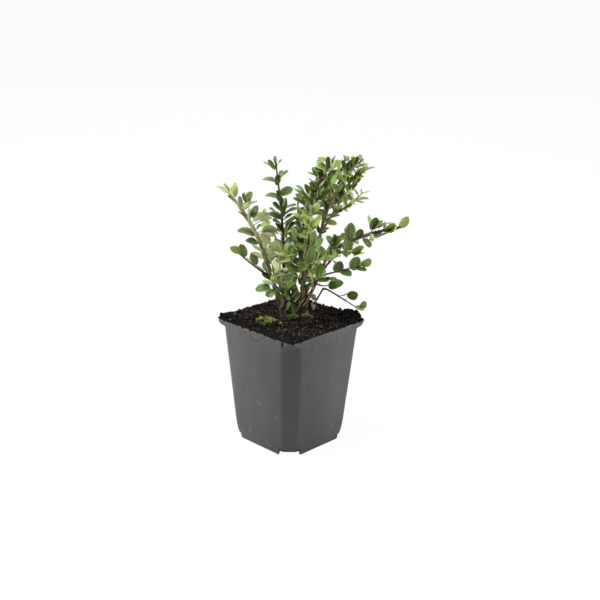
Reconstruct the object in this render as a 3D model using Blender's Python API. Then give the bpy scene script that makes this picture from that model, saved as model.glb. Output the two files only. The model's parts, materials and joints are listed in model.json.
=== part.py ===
"""Potted wall cotoneaster (Cotoneaster horizontalis), a young plant in a 9 cm square nursery pot.

Metres, +Z up. The origin is the middle of the pot's flat underside, and X and Y run along the
pot's sides. The plant spreads across the pot's diagonal, so its limbs are laid out in a frame of
their own: across (to the plant's right), near (towards the pot's corner at -X -Y) and up.
"""

import math
import random
from typing import NamedTuple

import bmesh
import bpy
from mathutils import Matrix, Vector
from mathutils.bvhtree import BVHTree

MM = 0.001

# Pot: a square of 9 cm at the rim, its sides drawn in to the foot and its corners cut off
POT_HEIGHT = 105.0
RIM_HALF = 45.0
RIM_CORNER = 8.0
LIP_HEIGHT = 5.6
LIP_FOOT_HALF = 43.7
LIP_FOOT_CORNER = 5.5
WALL_TOP_HALF = 43.2
WALL_TOP_CUT = 9.7
FOOT_HALF = 34.6
FOOT_CUT = 9.0
WALL = 1.1
FLOOR_UNDERSIDE = 3.4
FLOOR_TOP = 4.6
NOTCH_OVERCUT = 1.0
PAD_RADIUS = 12.0
DRAIN_RADIUS = 3.6
DRAIN_REACH = 26.0
CORNER_POINTS = 5

# Compost: level with the rim, mounded a little round the stems and lumpy at the edge
GAP = 0.3
COMPOST_EDGE = 104.2
COMPOST_LEVEL = 106.0
COMPOST_PLATEAU = 0.64
COMPOST_RINGS = (0.96, 0.86, 0.76, COMPOST_PLATEAU, 0.3)
COMPOST_LUMP = 1.1

# Plant
PLANT_TURN = math.radians(-45.85)
STEM_FOOT = COMPOST_LEVEL + GAP
CLEAR = 0.35
ROOT_FLARE = 1.45
FLARE_RISE = 5.0
LEAF_WIDTH = 0.90
LEAF_THICK = 0.55
LEAF_CUP = 0.07
LEAF_TRIES = 10
LEAF_SHRINK = 0.03
LEAF_TURN_PLAY = 0.22
LEAF_SPREAD_PLAY = 0.20
LEAF_TILT = 0.25
LEAF_ROOT_FREE = 1.2
TIP_LEAF_SHARE = 0.8
TWIG_LEAF_SHARE = 0.94
YOUNG_FROM = 0.75
YOUNG_SHRINK = 0.30
FIRST_LEAF = 4.2
GOLDEN_TURN = math.radians(137.5)
TWIG_EVERY = 10.5
TWIG_LENGTH = (11.0, 18.0)
TWIG_LEAN = math.radians(51.5)
TWIG_SHORTEN = 0.45
LAST_TWIG = 8.0
TWIG_CLEAR_FROM = 1.5
TWIG_RADIUS = 0.6
TWIG_TIP_RADIUS = 0.4
STEM_TIP_RADIUS = 0.45
STEP = 9.0


class Limb(NamedTuple):
    """A tapering stem or bough: it stands on the compost or leaves a parent at a share of its length."""

    name: str
    parent: str
    share: float
    foot: tuple
    tip: tuple
    bow: tuple
    radius: float
    tip_radius: float
    bark: str


class Habit(NamedTuple):
    """How leaves stand round a twig.

    Each leaf is turned on from the last by step, give or take wander, and leans off the twig by
    spread. Its upper side looks partly along its own way up the twig, by own, and partly at facing.
    A step of zero keeps the leaves on the upper side of the twig. Twigs are turned on from one to
    the next by twig_step in the same way.
    """

    step: float
    wander: float
    spread: float
    own: float
    facing: tuple
    twig_step: float


class Shoot(NamedTuple):
    """A leafy mass: a stem that leaves a limb at a share of its length and carries twigs and leaves."""

    name: str
    limb: str
    share: float
    tip: tuple
    bow: tuple
    radius: float
    leaf: float
    spacing: float
    twigs: float
    habit: str
    tone: str


HABITS = {
    "bushy": Habit(GOLDEN_TURN, 0.35, math.radians(60), 0.5, (0, 0.35, 0.6), GOLDEN_TURN),
    "arching": Habit(math.pi, 0.5, math.radians(62), 0.5, (0, 0.5, 0.6), 0.0),
    "spray": Habit(math.pi, 0.15, math.radians(58), 0.1, (0, 1, 0.35), math.pi),
    "upper_spray": Habit(0.0, 0.7, math.radians(58), 0.1, (0, 1, 0.35), 0.0),
    "rear_spray": Habit(math.pi, 0.25, math.radians(58), 0.3, (0, -0.6, 0.8), math.pi),
}

LIMBS = (
    Limb("trunk", "", 0, (9, -12, STEM_FOOT), (10, -12, 129), (0.6, 0, 0), 3.9, 3.0, "bark_old"),
    Limb("left_stem", "", 0, (-6, 1, STEM_FOOT), (-12, 2, 127), (0.5, 0, 0), 2.3, 1.9, "bark_old"),
    Limb("bough_left", "left_stem", 1, (), (-20.5, 4.5, 147), (0.5, 0, -0.5), 1.8, 1.6, "bark_tan"),
    Limb("bough_cross", "left_stem", 0.86, (), (0, -3, 144), (1, 0, -1.5), 1.2, 1.0, "bark_tan"),
    Limb("bough_upright", "trunk", 0.50, (), (-7, -9.5, 147), (-1.5, 0, 0), 1.3, 1.1, "bark_dark"),
    Limb("bough_crest", "trunk", 1, (), (7, -9, 158), (-1, 1, 0), 1.7, 1.4, "bark_dark"),
    Limb("bough_tall", "trunk", 0.80, (), (26, -17, 188), (-1, 0, -1), 1.6, 1.2, "bark_tan"),
    Limb("bough_right", "trunk", 0.58, (), (31, -6, 161), (-1, 0, 0), 1.5, 1.2, "bark_dark"),
    Limb("bough_low", "trunk", 0.36, (), (19, -4, 139), (0, 0, 0), 1.0, 0.8, "bark_dark"),
    Limb("bough_trailing", "trunk", 0.16, (), (26, -4, 130.5), (0, 0, -1), 0.8, 0.7, "bark_dark"),
    Limb("bough_front", "trunk", 0.66, (), (10, 7, 147), (0, 1, 0), 1.1, 0.9, "bark_tan"),
    Limb("bough_front_left", "left_stem", 0.5, (), (-7, 14, 136), (0, 1.5, 0), 1.0, 0.8, "bark_tan"),
    Limb("bough_front_right", "trunk", 0.32, (), (17, 8, 133), (0, 1, 0), 1.0, 0.8, "bark_tan"),
    Limb("bough_back_left", "trunk", 0.44, (), (-5, -28, 146), (0, -1.5, 0), 1.1, 0.9, "bark_dark"),
    Limb("bough_back", "trunk", 0.66, (), (10, -32, 150), (0, -1.5, 0), 1.2, 0.9, "bark_dark"),
    Limb("bough_back_right", "trunk", 0.42, (), (27, -27, 141), (0, -1, 0), 1.1, 0.9, "bark_dark"),
)

SHOOTS = (
    Shoot("left_leader", "bough_left", 1, (-55, 15, 216), (8, 0, -4), 1.6, 10.8, 5.0, 0.9,
          "arching", "green_pale"),
    Shoot("left_twig", "bough_left", 0.88, (-46, 10, 168), (0, 0, -1), 0.8, 10.0, 6.5, 0.0,
          "upper_spray", "green_mid"),
    Shoot("left_low", "left_stem", 0.80, (-22, 11, 136), (0, 0, 0), 0.7, 10.5, 7.0, 0.0,
          "upper_spray", "green_dark"),
    Shoot("left_inner", "bough_left", 0.50, (-18, 2, 174), (-1, 0, 0), 0.9, 10.8, 5.0, 0.9,
          "bushy", "green_pale"),
    Shoot("upright", "bough_upright", 1, (-15, -12, 235), (2, 0, -2), 1.1, 11.2, 4.0, 0.25,
          "arching", "green_dark"),
    Shoot("inner_left", "bough_upright", 0.45, (-12, 8, 153), (0, 0, 2), 0.7, 10.6, 5.0, 0.8,
          "bushy", "green_mid"),
    Shoot("inner_mid", "bough_upright", 0.85, (3, 6, 171), (0, 1, 0), 0.7, 10.6, 5.0, 0.8,
          "bushy", "green_mid"),
    Shoot("crest", "bough_crest", 1, (31, -5, 238), (-6, 0, 0), 1.4, 11.0, 4.4, 1.0,
          "bushy", "green_dark"),
    Shoot("crest_rear", "bough_crest", 0.86, (4, -26, 204), (-1, -2, 0), 1.0, 10.8, 4.8, 0.8,
          "bushy", "green_dark"),
    Shoot("tall", "bough_tall", 1, (52, -21, 234), (-2, 0, 1), 1.2, 11.0, 4.4, 1.0,
          "bushy", "green_dark"),
    Shoot("tall_rear", "bough_tall", 0.92, (42, -31, 231), (-3, -2, 0), 0.9, 10.8, 4.8, 0.9,
          "bushy", "green_mid"),
    Shoot("tall_light", "bough_tall", 0.96, (58, -9, 211), (2, 3, -3), 0.8, 8.4, 6.5, 0.0,
          "arching", "green_young"),
    Shoot("tall_side", "bough_tall", 0.86, (62, -27, 226), (1, -2, -1), 0.8, 10.4, 4.8, 0.9,
          "bushy", "green_young"),
    Shoot("right_leader", "bough_right", 1, (86, 12, 192), (-3, 0, 1), 1.2, 11.0, 5.6, 0.4,
          "spray", "green_mid"),
    Shoot("right_inner", "bough_right", 0.8, (33, 12, 180), (-2, 2, 0), 0.8, 11.0, 5.2, 0.6,
          "bushy", "green_mid"),
    Shoot("cross", "bough_cross", 1, (51, 11, 168), (-2, 0, 2), 1.0, 11.0, 5.4, 0.7,
          "spray", "green_mid"),
    Shoot("low", "bough_low", 1, (56, 10, 157), (-2, 0, 0), 0.8, 11.4, 6.4, 0.1,
          "spray", "green_mid"),
    Shoot("low_short", "bough_low", 0.7, (34, 4, 139), (0, 0, 0), 0.6, 10.4, 6.0, 0.0,
          "upper_spray", "green_mid"),
    Shoot("trailing", "bough_trailing", 1, (55, 3, 119), (0, 0, -0.5), 0.7, 10.4, 11.0, 0.0,
          "upper_spray", "green_mid"),
    Shoot("front", "bough_front", 1, (15, 22, 198), (-2, 4, -2), 0.9, 11.0, 5.0, 0.8,
          "bushy", "green_young"),
    Shoot("front_mid", "bough_front", 0.85, (22, 32, 172), (0, 3, -2), 0.8, 11.0, 5.2, 0.8,
          "spray", "green_mid"),
    Shoot("front_left", "bough_front_left", 1, (-10, 34, 170), (0, 3, -3), 0.8, 11.0, 5.2, 0.9,
          "spray", "green_pale"),
    Shoot("front_foot", "bough_front_left", 0.8, (-14, 32, 139), (0, 0, 2), 0.7, 10.6, 5.0, 0.5,
          "spray", "green_dark"),
    Shoot("front_low", "bough_front_left", 0.5, (0, 20, 138), (0, 0, 2), 0.7, 10.6, 5.0, 0.6,
          "spray", "green_mid"),
    Shoot("front_right", "bough_front_right", 1, (15, 33, 154), (0, 0, 3), 0.8, 11.0, 5.2, 0.6,
          "spray", "green_dark"),
    Shoot("back_left", "bough_back_left", 1, (-24, -46, 180), (1, -3, -2), 0.9, 10.8, 5.2, 0.8,
          "rear_spray", "green_dark"),
    Shoot("back_foot", "bough_back_left", 0.8, (-19, -44, 146), (0, -1, 2), 0.7, 10.8, 5.4, 0.6,
          "rear_spray", "green_mid"),
    Shoot("back", "bough_back", 1, (10, -56, 192), (0, -3, -2), 0.9, 10.8, 5.2, 0.8,
          "bushy", "green_dark"),
    Shoot("back_low", "bough_back", 0.8, (12, -60, 158), (0, -1, 3), 0.8, 10.8, 5.4, 0.7,
          "rear_spray", "green_mid"),
    Shoot("back_right", "bough_back_right", 1, (50, -44, 174), (0, -2, -3), 0.9, 10.8, 5.2, 0.8,
          "rear_spray", "green_mid"),
)

# Moss: a name, a place on the compost (across, near), half length, half width and height
MOSSES = (
    ("moss_bright", (-20.0, 9.5), 9.0, 4.6, 4.2),
    ("moss_middle", (1.5, 5.5), 5.0, 3.6, 3.6),
    ("moss_right", (13.0, 3.5), 5.0, 3.4, 3.4),
)
MOSS_SIDES = 12

# Heaps of compost: place across, place near, height, spread
HEAPS = (
    (51, -7, 6.0, 12.0),
    (-55, -2, 3.0, 10.0),
    (0, -50, 2.5, 14.0),
)

# Finish: base colour, roughness
FINISHES = {
    "pot_grey": ((0.105, 0.108, 0.115), 0.55),
    "compost": ((0.020, 0.015, 0.012), 0.95),
    "moss": ((0.230, 0.290, 0.060), 0.90),
    "bark_old": ((0.115, 0.070, 0.050), 0.80),
    "bark_tan": ((0.260, 0.185, 0.110), 0.75),
    "bark_dark": ((0.060, 0.036, 0.030), 0.75),
    "green_dark": ((0.050, 0.100, 0.035), 0.45),
    "green_mid": ((0.085, 0.155, 0.045), 0.45),
    "green_young": ((0.165, 0.245, 0.065), 0.45),
    "green_pale": ((0.210, 0.270, 0.130), 0.50),
}


def clear_scene():
    """Remove whatever the scene holds."""
    for item in list(bpy.data.objects):
        bpy.data.objects.remove(item, do_unlink=True)


def finish(name):
    """The named finish as a Principled material of its own."""
    colour, roughness = FINISHES[name]
    material = bpy.data.materials.new(name)
    material.use_nodes = True
    shader = material.node_tree.nodes["Principled BSDF"]
    shader.inputs["Base Color"].default_value = (*colour, 1.0)
    shader.inputs["Roughness"].default_value = roughness
    shader.inputs["Metallic"].default_value = 0.0
    return material


def plant(across, near, up):
    """A point of the plant's frame, in millimetres, as a vector of the part in metres."""
    turn_cos = math.cos(PLANT_TURN)
    turn_sin = math.sin(PLANT_TURN)
    x = across * turn_cos + near * turn_sin
    y = across * turn_sin - near * turn_cos
    return Vector((x, y, up)) * MM


def new_object(name, verts, faces, material_name):
    """An object of the scene from vertices in metres and faces that point outwards."""
    mesh = bpy.data.meshes.new(name)
    mesh.from_pydata([tuple(v) for v in verts], [], faces)
    mesh.update()
    item = bpy.data.objects.new(name, mesh)
    bpy.context.scene.collection.objects.link(item)
    mesh.materials.append(finish(material_name))
    return item


def section(half, corner, height, rounded):
    """The pot's outline at one height: a square whose corners are cut flat, or rounded for the rim."""
    ring = []
    centre = half - corner
    for quarter in range(4):
        turn = Matrix.Rotation(quarter * math.pi / 2, 3, "Z")
        for i in range(CORNER_POINTS):
            share = i / (CORNER_POINTS - 1)
            if rounded:
                angle = share * math.pi / 2
                x = centre + corner * math.cos(angle)
                y = centre + corner * math.sin(angle)
            else:
                x = half - corner * share
                y = half - corner * (1 - share)
            ring.append(turn @ Vector((x, y, height)) * MM)
    return ring


def band(rings, k):
    """Triangles between ring k and the next, with every diagonal rising the same way round."""
    count = len(rings[0])
    low = k * count
    high = low + count
    rises = rings[k][0].z <= rings[k + 1][0].z
    faces = []
    for i in range(count):
        j = (i + 1) % count
        if rises:
            faces.append((low + i, low + j, high + j))
            faces.append((low + i, high + j, high + i))
        else:
            faces.append((low + i, low + j, high + i))
            faces.append((low + j, high + j, high + i))
    return faces


def loft(name, rings, material_name):
    """A closed solid through rings of equal count, with its first and last ring capped."""
    count = len(rings[0])
    verts = [v for ring in rings for v in ring]
    faces = [tuple(range(count - 1, -1, -1))]
    for k in range(len(rings) - 1):
        faces.extend(band(rings, k))
    last = (len(rings) - 1) * count
    faces.append(tuple(range(last, last + count)))
    return new_object(name, verts, faces, material_name)


def boolean(target, cutter, operation):
    """Cut or join a helper into a target with an exact Boolean, then remove the helper."""
    change = target.modifiers.new("change", "BOOLEAN")
    change.operation = operation
    change.solver = "EXACT"
    change.object = cutter
    bpy.context.view_layer.update()
    graph = bpy.context.evaluated_depsgraph_get()
    mesh = bpy.data.meshes.new_from_object(target.evaluated_get(graph))
    target.modifiers.remove(change)
    target.data = mesh
    bpy.data.objects.remove(cutter, do_unlink=True)


def cylinder(name, radius, sides, low, high, x=0.0, y=0.0):
    """An upright cylinder as a helper, in millimetres."""
    rings = []
    for height in (low, high):
        ring = []
        for i in range(sides):
            angle = 2 * math.pi * i / sides
            place = Vector((x + radius * math.cos(angle), y + radius * math.sin(angle), height))
            ring.append(place * MM)
        rings.append(ring)
    return loft(name, rings, "pot_grey")


def wall_half(height):
    """Half the pot's outer width at a height below the lip."""
    share = height / (POT_HEIGHT - LIP_HEIGHT)
    return FOOT_HALF + (WALL_TOP_HALF - FOOT_HALF) * share


def wall_cut(height):
    """The leg of the cut corner at a height below the lip."""
    share = height / (POT_HEIGHT - LIP_HEIGHT)
    return FOOT_CUT + (WALL_TOP_CUT - FOOT_CUT) * share


def inner_sections(low, high, inset):
    """The pot's inside from one height to another, drawn in by an inset, as rings upwards."""
    shoulder = POT_HEIGHT - LIP_HEIGHT
    drawn = WALL + inset
    # a wall of even thickness shortens the leg of a cut corner by this much
    shorter = drawn * (2 - math.sqrt(2))
    foot = section(wall_half(low) - drawn, wall_cut(low) - shorter, low, False)
    neck = section(wall_half(shoulder) - drawn, wall_cut(shoulder) - shorter, shoulder, False)
    rim = section(RIM_HALF - drawn, RIM_CORNER - shorter, POT_HEIGHT, True)
    share = (high - shoulder) / LIP_HEIGHT
    mouth = [a.lerp(b, share) for a, b in zip(neck, rim)]
    return [foot, neck, mouth]


def make_pot():
    """The pot: outer shell, hollow, skirt under the floor, corner notches, pad and drain holes."""
    shoulder = POT_HEIGHT - LIP_HEIGHT
    outside = [
        section(FOOT_HALF, FOOT_CUT, 0.0, False),
        section(WALL_TOP_HALF, WALL_TOP_CUT, shoulder, False),
        section(LIP_FOOT_HALF, LIP_FOOT_CORNER, shoulder, True),
        section(RIM_HALF, RIM_CORNER, POT_HEIGHT, True),
    ]
    inside = inner_sections(FLOOR_TOP, POT_HEIGHT, 0.0)
    pot = loft("pot", outside + inside[::-1], "pot_grey")

    under = section(FOOT_HALF - WALL, FOOT_CUT - WALL * (2 - math.sqrt(2)), -1.0, False)
    under_top = [Vector((v.x, v.y, FLOOR_UNDERSIDE * MM)) for v in under]
    boolean(pot, loft("under", [under, under_top], "pot_grey"), "DIFFERENCE")
    boolean(pot, cylinder("pad", PAD_RADIUS, 20, 0.0, (FLOOR_UNDERSIDE + FLOOR_TOP) / 2), "UNION")

    reach = FOOT_CUT + NOTCH_OVERCUT
    for quarter in range(4):
        turn = Matrix.Rotation(quarter * math.pi / 2, 3, "Z")
        outline = [
            (FOOT_HALF + 1, FOOT_HALF - reach),
            (FOOT_HALF + 1, FOOT_HALF + 1),
            (FOOT_HALF - reach, FOOT_HALF + 1),
            (FOOT_HALF - reach, FOOT_HALF - reach),
        ]
        rings = []
        for height in (-1.0, FLOOR_UNDERSIDE):
            rings.append([turn @ Vector((x, y, height)) * MM for x, y in outline])
        boolean(pot, loft("notch", rings, "pot_grey"), "DIFFERENCE")
        place = turn @ Vector((DRAIN_REACH, DRAIN_REACH, 0)) / math.sqrt(2)
        low, high = FLOOR_UNDERSIDE - 1, FLOOR_TOP + 1
        hole = cylinder("drain", DRAIN_RADIUS, 12, low, high, place.x, place.y)
        boolean(pot, hole, "DIFFERENCE")
    return pot


def compost_height(across, near, share, rng):
    """Height of the compost: a plateau round the stems, lumps towards the edge and a few heaps."""
    if share <= COMPOST_PLATEAU:
        return COMPOST_LEVEL
    fall = (share - COMPOST_PLATEAU) / (1 - COMPOST_PLATEAU)
    height = COMPOST_LEVEL + (COMPOST_EDGE - COMPOST_LEVEL) * fall
    for heap_across, heap_near, rise, spread in HEAPS:
        away = math.hypot(across - heap_across, near - heap_near) / spread
        height += rise * math.exp(-away * away)
    return height + rng.uniform(-0.6, 1.0) * COMPOST_LUMP


def make_compost():
    """The compost: one solid that fills the pot, 0.3 mm clear of it, with a mounded top."""
    rng = random.Random(11)
    rings = inner_sections(FLOOR_TOP + GAP, COMPOST_EDGE, GAP)
    edge = rings[-1]
    turn_back = Matrix.Rotation(-PLANT_TURN, 3, "Z")
    for share in COMPOST_RINGS:
        ring = []
        for corner in edge:
            flat = Vector((corner.x * share, corner.y * share, 0))
            laid = turn_back @ flat / MM
            height = compost_height(laid.x, -laid.y, share, rng)
            ring.append(Vector((flat.x, flat.y, height * MM)))
        rings.append(ring)
    return loft("compost", rings, "compost")


def make_moss(name, place, half_length, half_width, height, seed):
    """A low cushion of moss that sits on the compost, its outline and crown a little uneven."""
    rng = random.Random(seed)
    base = COMPOST_LEVEL + GAP
    verts = []
    for ring_share, rise in ((1.0, 0.0), (0.92, 0.5), (0.55, 0.86)):
        for i in range(MOSS_SIDES):
            angle = 2 * math.pi * i / MOSS_SIDES
            swell = 1 + rng.uniform(-0.10, 0.10)
            across = place[0] + half_length * ring_share * swell * math.cos(angle)
            near = place[1] - half_width * ring_share * swell * math.sin(angle)
            verts.append(plant(across, near, base + rise * height * swell))
    verts.append(plant(place[0], place[1], base + height))
    faces = [tuple(range(MOSS_SIDES - 1, -1, -1))]
    for k in range(2):
        low = k * MOSS_SIDES
        for i in range(MOSS_SIDES):
            j = (i + 1) % MOSS_SIDES
            faces.append((low + i, low + j, low + MOSS_SIDES + j, low + MOSS_SIDES + i))
    top = 3 * MOSS_SIDES
    for i in range(MOSS_SIDES):
        faces.append((2 * MOSS_SIDES + i, 2 * MOSS_SIDES + (i + 1) % MOSS_SIDES, top))
    return new_object(name, verts, faces, "moss")


class Curve:
    """A bowed line from a foot to a tip: a parabola whose middle is moved off by the bow."""

    def __init__(self, foot, tip, bow):
        self.foot = foot
        self.tip = tip
        self.control = (foot + tip) / 2 + 2 * bow

    def point(self, t):
        """The point at a share of the way."""
        return self.foot * (1 - t) ** 2 + self.control * 2 * t * (1 - t) + self.tip * t * t

    def heading(self, t):
        """The direction of travel at a share of the way."""
        step = (self.control - self.foot) * (1 - t) + (self.tip - self.control) * t
        return step.normalized()

    def length(self):
        """The curve's length, read off twenty chords."""
        points = [self.point(i / 20) for i in range(21)]
        return sum((b - a).length for a, b in zip(points, points[1:]))


def upright_of(heading):
    """The direction square to a heading that points up as far as it can."""
    guide = Vector((0, 0, 1)) if abs(heading.z) < 0.9 else plant(0, 1, 0).normalized()
    return (guide - heading * guide.dot(heading)).normalized()


def tube(curve, radii, sides, segments):
    """Vertices and faces of a closed tube along a curve, whose radius is read from a function."""
    verts = []
    guide = upright_of(curve.heading(0))
    for k in range(segments + 1):
        t = k / segments
        heading = curve.heading(t)
        guide = (guide - heading * guide.dot(heading)).normalized()
        side = heading.cross(guide)
        for i in range(sides):
            angle = 2 * math.pi * i / sides
            ray = guide * math.cos(angle) + side * math.sin(angle)
            verts.append(curve.point(t) + ray * radii(t))
    faces = [tuple(range(sides - 1, -1, -1))]
    for k in range(segments):
        low = k * sides
        for i in range(sides):
            j = (i + 1) % sides
            faces.append((low + i, low + j, low + sides + j, low + sides + i))
    last = segments * sides
    faces.append(tuple(range(last, last + sides)))
    return verts, faces


def blade(root, heading, face, length, swell=0.0):
    """A leaf as a thin cupped lens of twelve triangles: six outline points and two middles."""
    side = heading.cross(face)
    width = length * LEAF_WIDTH + 2 * swell
    reach = length + swell
    cup = length * LEAF_CUP
    outline = (
        (0.0, 0.0, 0.0),
        (0.34, 0.44, cup),
        (0.72, 0.40, cup),
        (1.0, 0.0, 0.0),
        (0.72, -0.40, cup),
        (0.34, -0.44, cup),
    )
    half = (LEAF_THICK * MM) / 2 + swell
    verts = [root + heading * reach * u + side * width * v + face * w for u, v, w in outline]
    middle = root + heading * reach * 0.5
    verts.append(middle + face * half)
    verts.append(middle - face * half)
    faces = []
    for i in range(6):
        j = (i + 1) % 6
        faces.append((j, i, 6))
        faces.append((i, j, 7))
    return verts, faces


class Body:
    """A placed piece of the plant: its surface, for tests of what comes near it."""

    def __init__(self, owner, verts, faces):
        self.owner = owner
        self.centre = sum(verts, Vector()) / len(verts)
        self.reach = max((v - self.centre).length for v in verts)
        self.tree = BVHTree.FromPolygons(verts, faces)


class Grove:
    """Every piece placed so far, and the test that a new one keeps clear of them."""

    def __init__(self):
        self.bodies = []

    def add(self, owner, verts, faces):
        """Remember a placed piece."""
        body = Body(owner, verts, faces)
        self.bodies.append(body)
        return body

    def is_clear(self, verts, faces, spared):
        """Whether a piece, given with its clearance added, touches nothing but the spared pieces."""
        probe = Body("", verts, faces)
        for body in self.bodies:
            if body in spared:
                continue
            if (body.centre - probe.centre).length > body.reach + probe.reach:
                continue
            if body.tree.overlap(probe.tree):
                return False
        return True


def limb_radius(limb):
    """The radius of a limb along its length, with a root flare where it stands on the compost."""

    def radius(t):
        plain = limb.radius + (limb.tip_radius - limb.radius) * t
        if limb.foot:
            rise = t * (limb.tip[2] - limb.foot[2]) / FLARE_RISE
            plain *= 1 + (ROOT_FLARE - 1) * math.exp(-rise * rise)
        return plain * MM

    return radius


def leave(curve, thickness, share, tip, bow, radius):
    """The curve of a limb that leaves another: 0.3 mm off its end, or off its flank, to a tip."""
    spot = curve.point(share)
    axis = curve.heading(share)
    start = spot
    # the start shifts the first heading a little, so the two are worked out in turn
    for _ in range(3):
        rough = Curve(start, tip, bow).heading(0)
        along = rough.dot(axis)
        if share >= 1:
            start = spot + axis * (GAP * MM + radius * math.sqrt(max(0, 1 - along * along)))
        else:
            outward = (rough - axis * along).normalized()
            start = spot + outward * (thickness + GAP * MM + radius * abs(along))
    return Curve(start, tip, bow)


def make_limbs(grove):
    """The stems and boughs, each a tapering limb in its own node."""
    curves = {}
    for limb in LIMBS:
        radius = limb_radius(limb)
        tip = plant(*limb.tip)
        bow = plant(*limb.bow)
        if limb.foot:
            curve = Curve(plant(*limb.foot), tip, bow)
        else:
            parent, parent_curve, _ = curves[limb.parent]
            thickness = limb_radius(parent)(limb.share)
            curve = leave(parent_curve, thickness, limb.share, tip, bow, limb.radius * MM)
        sides = 10 if limb.foot else 6
        segments = max(3, round(curve.length() / MM / 5))
        verts, faces = tube(curve, radius, sides, segments)
        if limb.foot:
            # the first ring is the flat cut on the compost
            for i in range(sides):
                verts[i].z = STEM_FOOT * MM
        new_object(limb.name, verts, faces, limb.bark)
        body = grove.add(limb.name, verts, faces)
        curves[limb.name] = (limb, curve, body)
    return curves


def spoke(habit, heading, turn):
    """The direction square to a heading at a turn from the rank that lies in the habit's own plane."""
    facing = plant(*habit.facing)
    rank = heading.cross(facing).normalized()
    return Matrix.Rotation(turn, 3, heading) @ rank


def place_leaf(grove, rng, habit, spot, heading, turn, size, twig, mass):
    """Try a leaf at a spot of a twig, turned until it is clear, and add it to the mass."""
    for attempt in range(LEAF_TRIES):
        play = LEAF_TURN_PLAY * (1 + attempt)
        outward = spoke(habit, heading, turn + rng.uniform(-play, play))
        spread = habit.spread + rng.uniform(-LEAF_SPREAD_PLAY, LEAF_SPREAD_PLAY)
        length = size * rng.uniform(0.88, 1.08) * (1 - LEAF_SHRINK * attempt) * MM
        aim = (outward * math.sin(spread) + heading * math.cos(spread)).normalized()
        own = heading * math.sin(spread) - outward * math.cos(spread)
        face = own * habit.own + plant(*habit.facing) / MM + jitter(rng, LEAF_TILT)
        face = (face - aim * face.dot(aim)).normalized()
        if add_leaf(grove, spot, aim, face, length, twig, mass):
            return


def jitter(rng, amount):
    """A small random vector."""
    return Vector([rng.uniform(-amount, amount) for _ in range(3)])


def add_leaf(grove, spot, aim, face, length, twig, mass):
    """Add one leaf to the mass if it keeps clear of everything but the twig that bears it."""
    free = LEAF_ROOT_FREE * MM
    grown = blade(spot + aim * free, aim, face, length - free, CLEAR * MM)
    if not grove.is_clear(*grown, (twig,)):
        return False
    leaf = blade(spot, aim, face, length)
    mass.append(leaf)
    grove.add("leaf", *leaf)
    return True


def first_turn(rng, step, habit, curve):
    """Where the leaves or twigs round a stem begin: on its upper side where they have no step."""
    if step:
        return rng.choice((0, math.pi))
    return 0 if spoke(habit, curve.heading(0.5), 0).z > 0 else math.pi


def leaf_along(grove, rng, habit, curve, first, size, spacing, twig, mass):
    """Leaves along a twig, each turned on from the last by the habit's step, and one at its tip."""
    length = curve.length() / MM
    away = first
    turn = first_turn(rng, habit.step, habit, curve)
    while away < length - 1.5:
        t = away / length
        growth = 1.0 - YOUNG_SHRINK * max(0.0, t - YOUNG_FROM) / (1 - YOUNG_FROM)
        wander = rng.uniform(-habit.wander, habit.wander)
        spot = curve.point(t)
        place_leaf(grove, rng, habit, spot, curve.heading(t), turn + wander, size * growth, twig, mass)
        away += spacing * rng.uniform(0.85, 1.15)
        turn += habit.step
    heading = curve.heading(1)
    facing = plant(*habit.facing) / MM + spoke(habit, heading, math.pi / 2) * 0.3
    face = (facing - heading * facing.dot(heading)).normalized()
    add_leaf(grove, curve.point(0.985), heading, face, size * TIP_LEAF_SHARE * MM, twig, mass)


def fuse(name, parts, material_name):
    """Join a stem, its twigs and its leaves into one solid by a single exact union."""
    group = bpy.data.collections.new(name + "_parts")
    bpy.context.scene.collection.children.link(group)
    for verts, faces in parts[1:]:
        mesh = bpy.data.meshes.new("part")
        mesh.from_pydata([tuple(v) for v in verts], [], faces)
        piece = bpy.data.objects.new("part", mesh)
        group.objects.link(piece)
    body = new_object(name, parts[0][0], parts[0][1], material_name)
    join = body.modifiers.new("join", "BOOLEAN")
    join.operation = "UNION"
    join.solver = "EXACT"
    join.operand_type = "COLLECTION"
    join.collection = group
    bpy.context.view_layer.update()
    graph = bpy.context.evaluated_depsgraph_get()
    mesh = bpy.data.meshes.new_from_object(body.evaluated_get(graph))
    body.modifiers.remove(join)
    body.data = mesh
    for piece in list(group.objects):
        bpy.data.objects.remove(piece, do_unlink=True)
    bpy.data.collections.remove(group)
    keep_main_shell(mesh)
    mesh.materials.clear()
    mesh.materials.append(finish(material_name))
    return body


def keep_main_shell(mesh):
    """Keep a mesh's largest shell: loose scraps are dropped and sealed hollows filled."""
    work = bmesh.new()
    work.from_mesh(mesh)
    bmesh.ops.triangulate(work, faces=work.faces)
    bmesh.ops.dissolve_degenerate(work, dist=0.00001, edges=work.edges)
    bmesh.ops.triangulate(work, faces=work.faces)
    unseen = set(work.verts)
    shells = []
    while unseen:
        front = [unseen.pop()]
        shell = set(front)
        while front:
            for edge in front.pop().link_edges:
                for vert in edge.verts:
                    if vert in unseen:
                        unseen.discard(vert)
                        shell.add(vert)
                        front.append(vert)
        shells.append(shell)
    shells.sort(key=len, reverse=True)
    loose = [vert for shell in shells[1:] for vert in shell]
    bmesh.ops.delete(work, geom=loose, context="VERTS")
    work.to_mesh(mesh)
    work.free()


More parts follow.
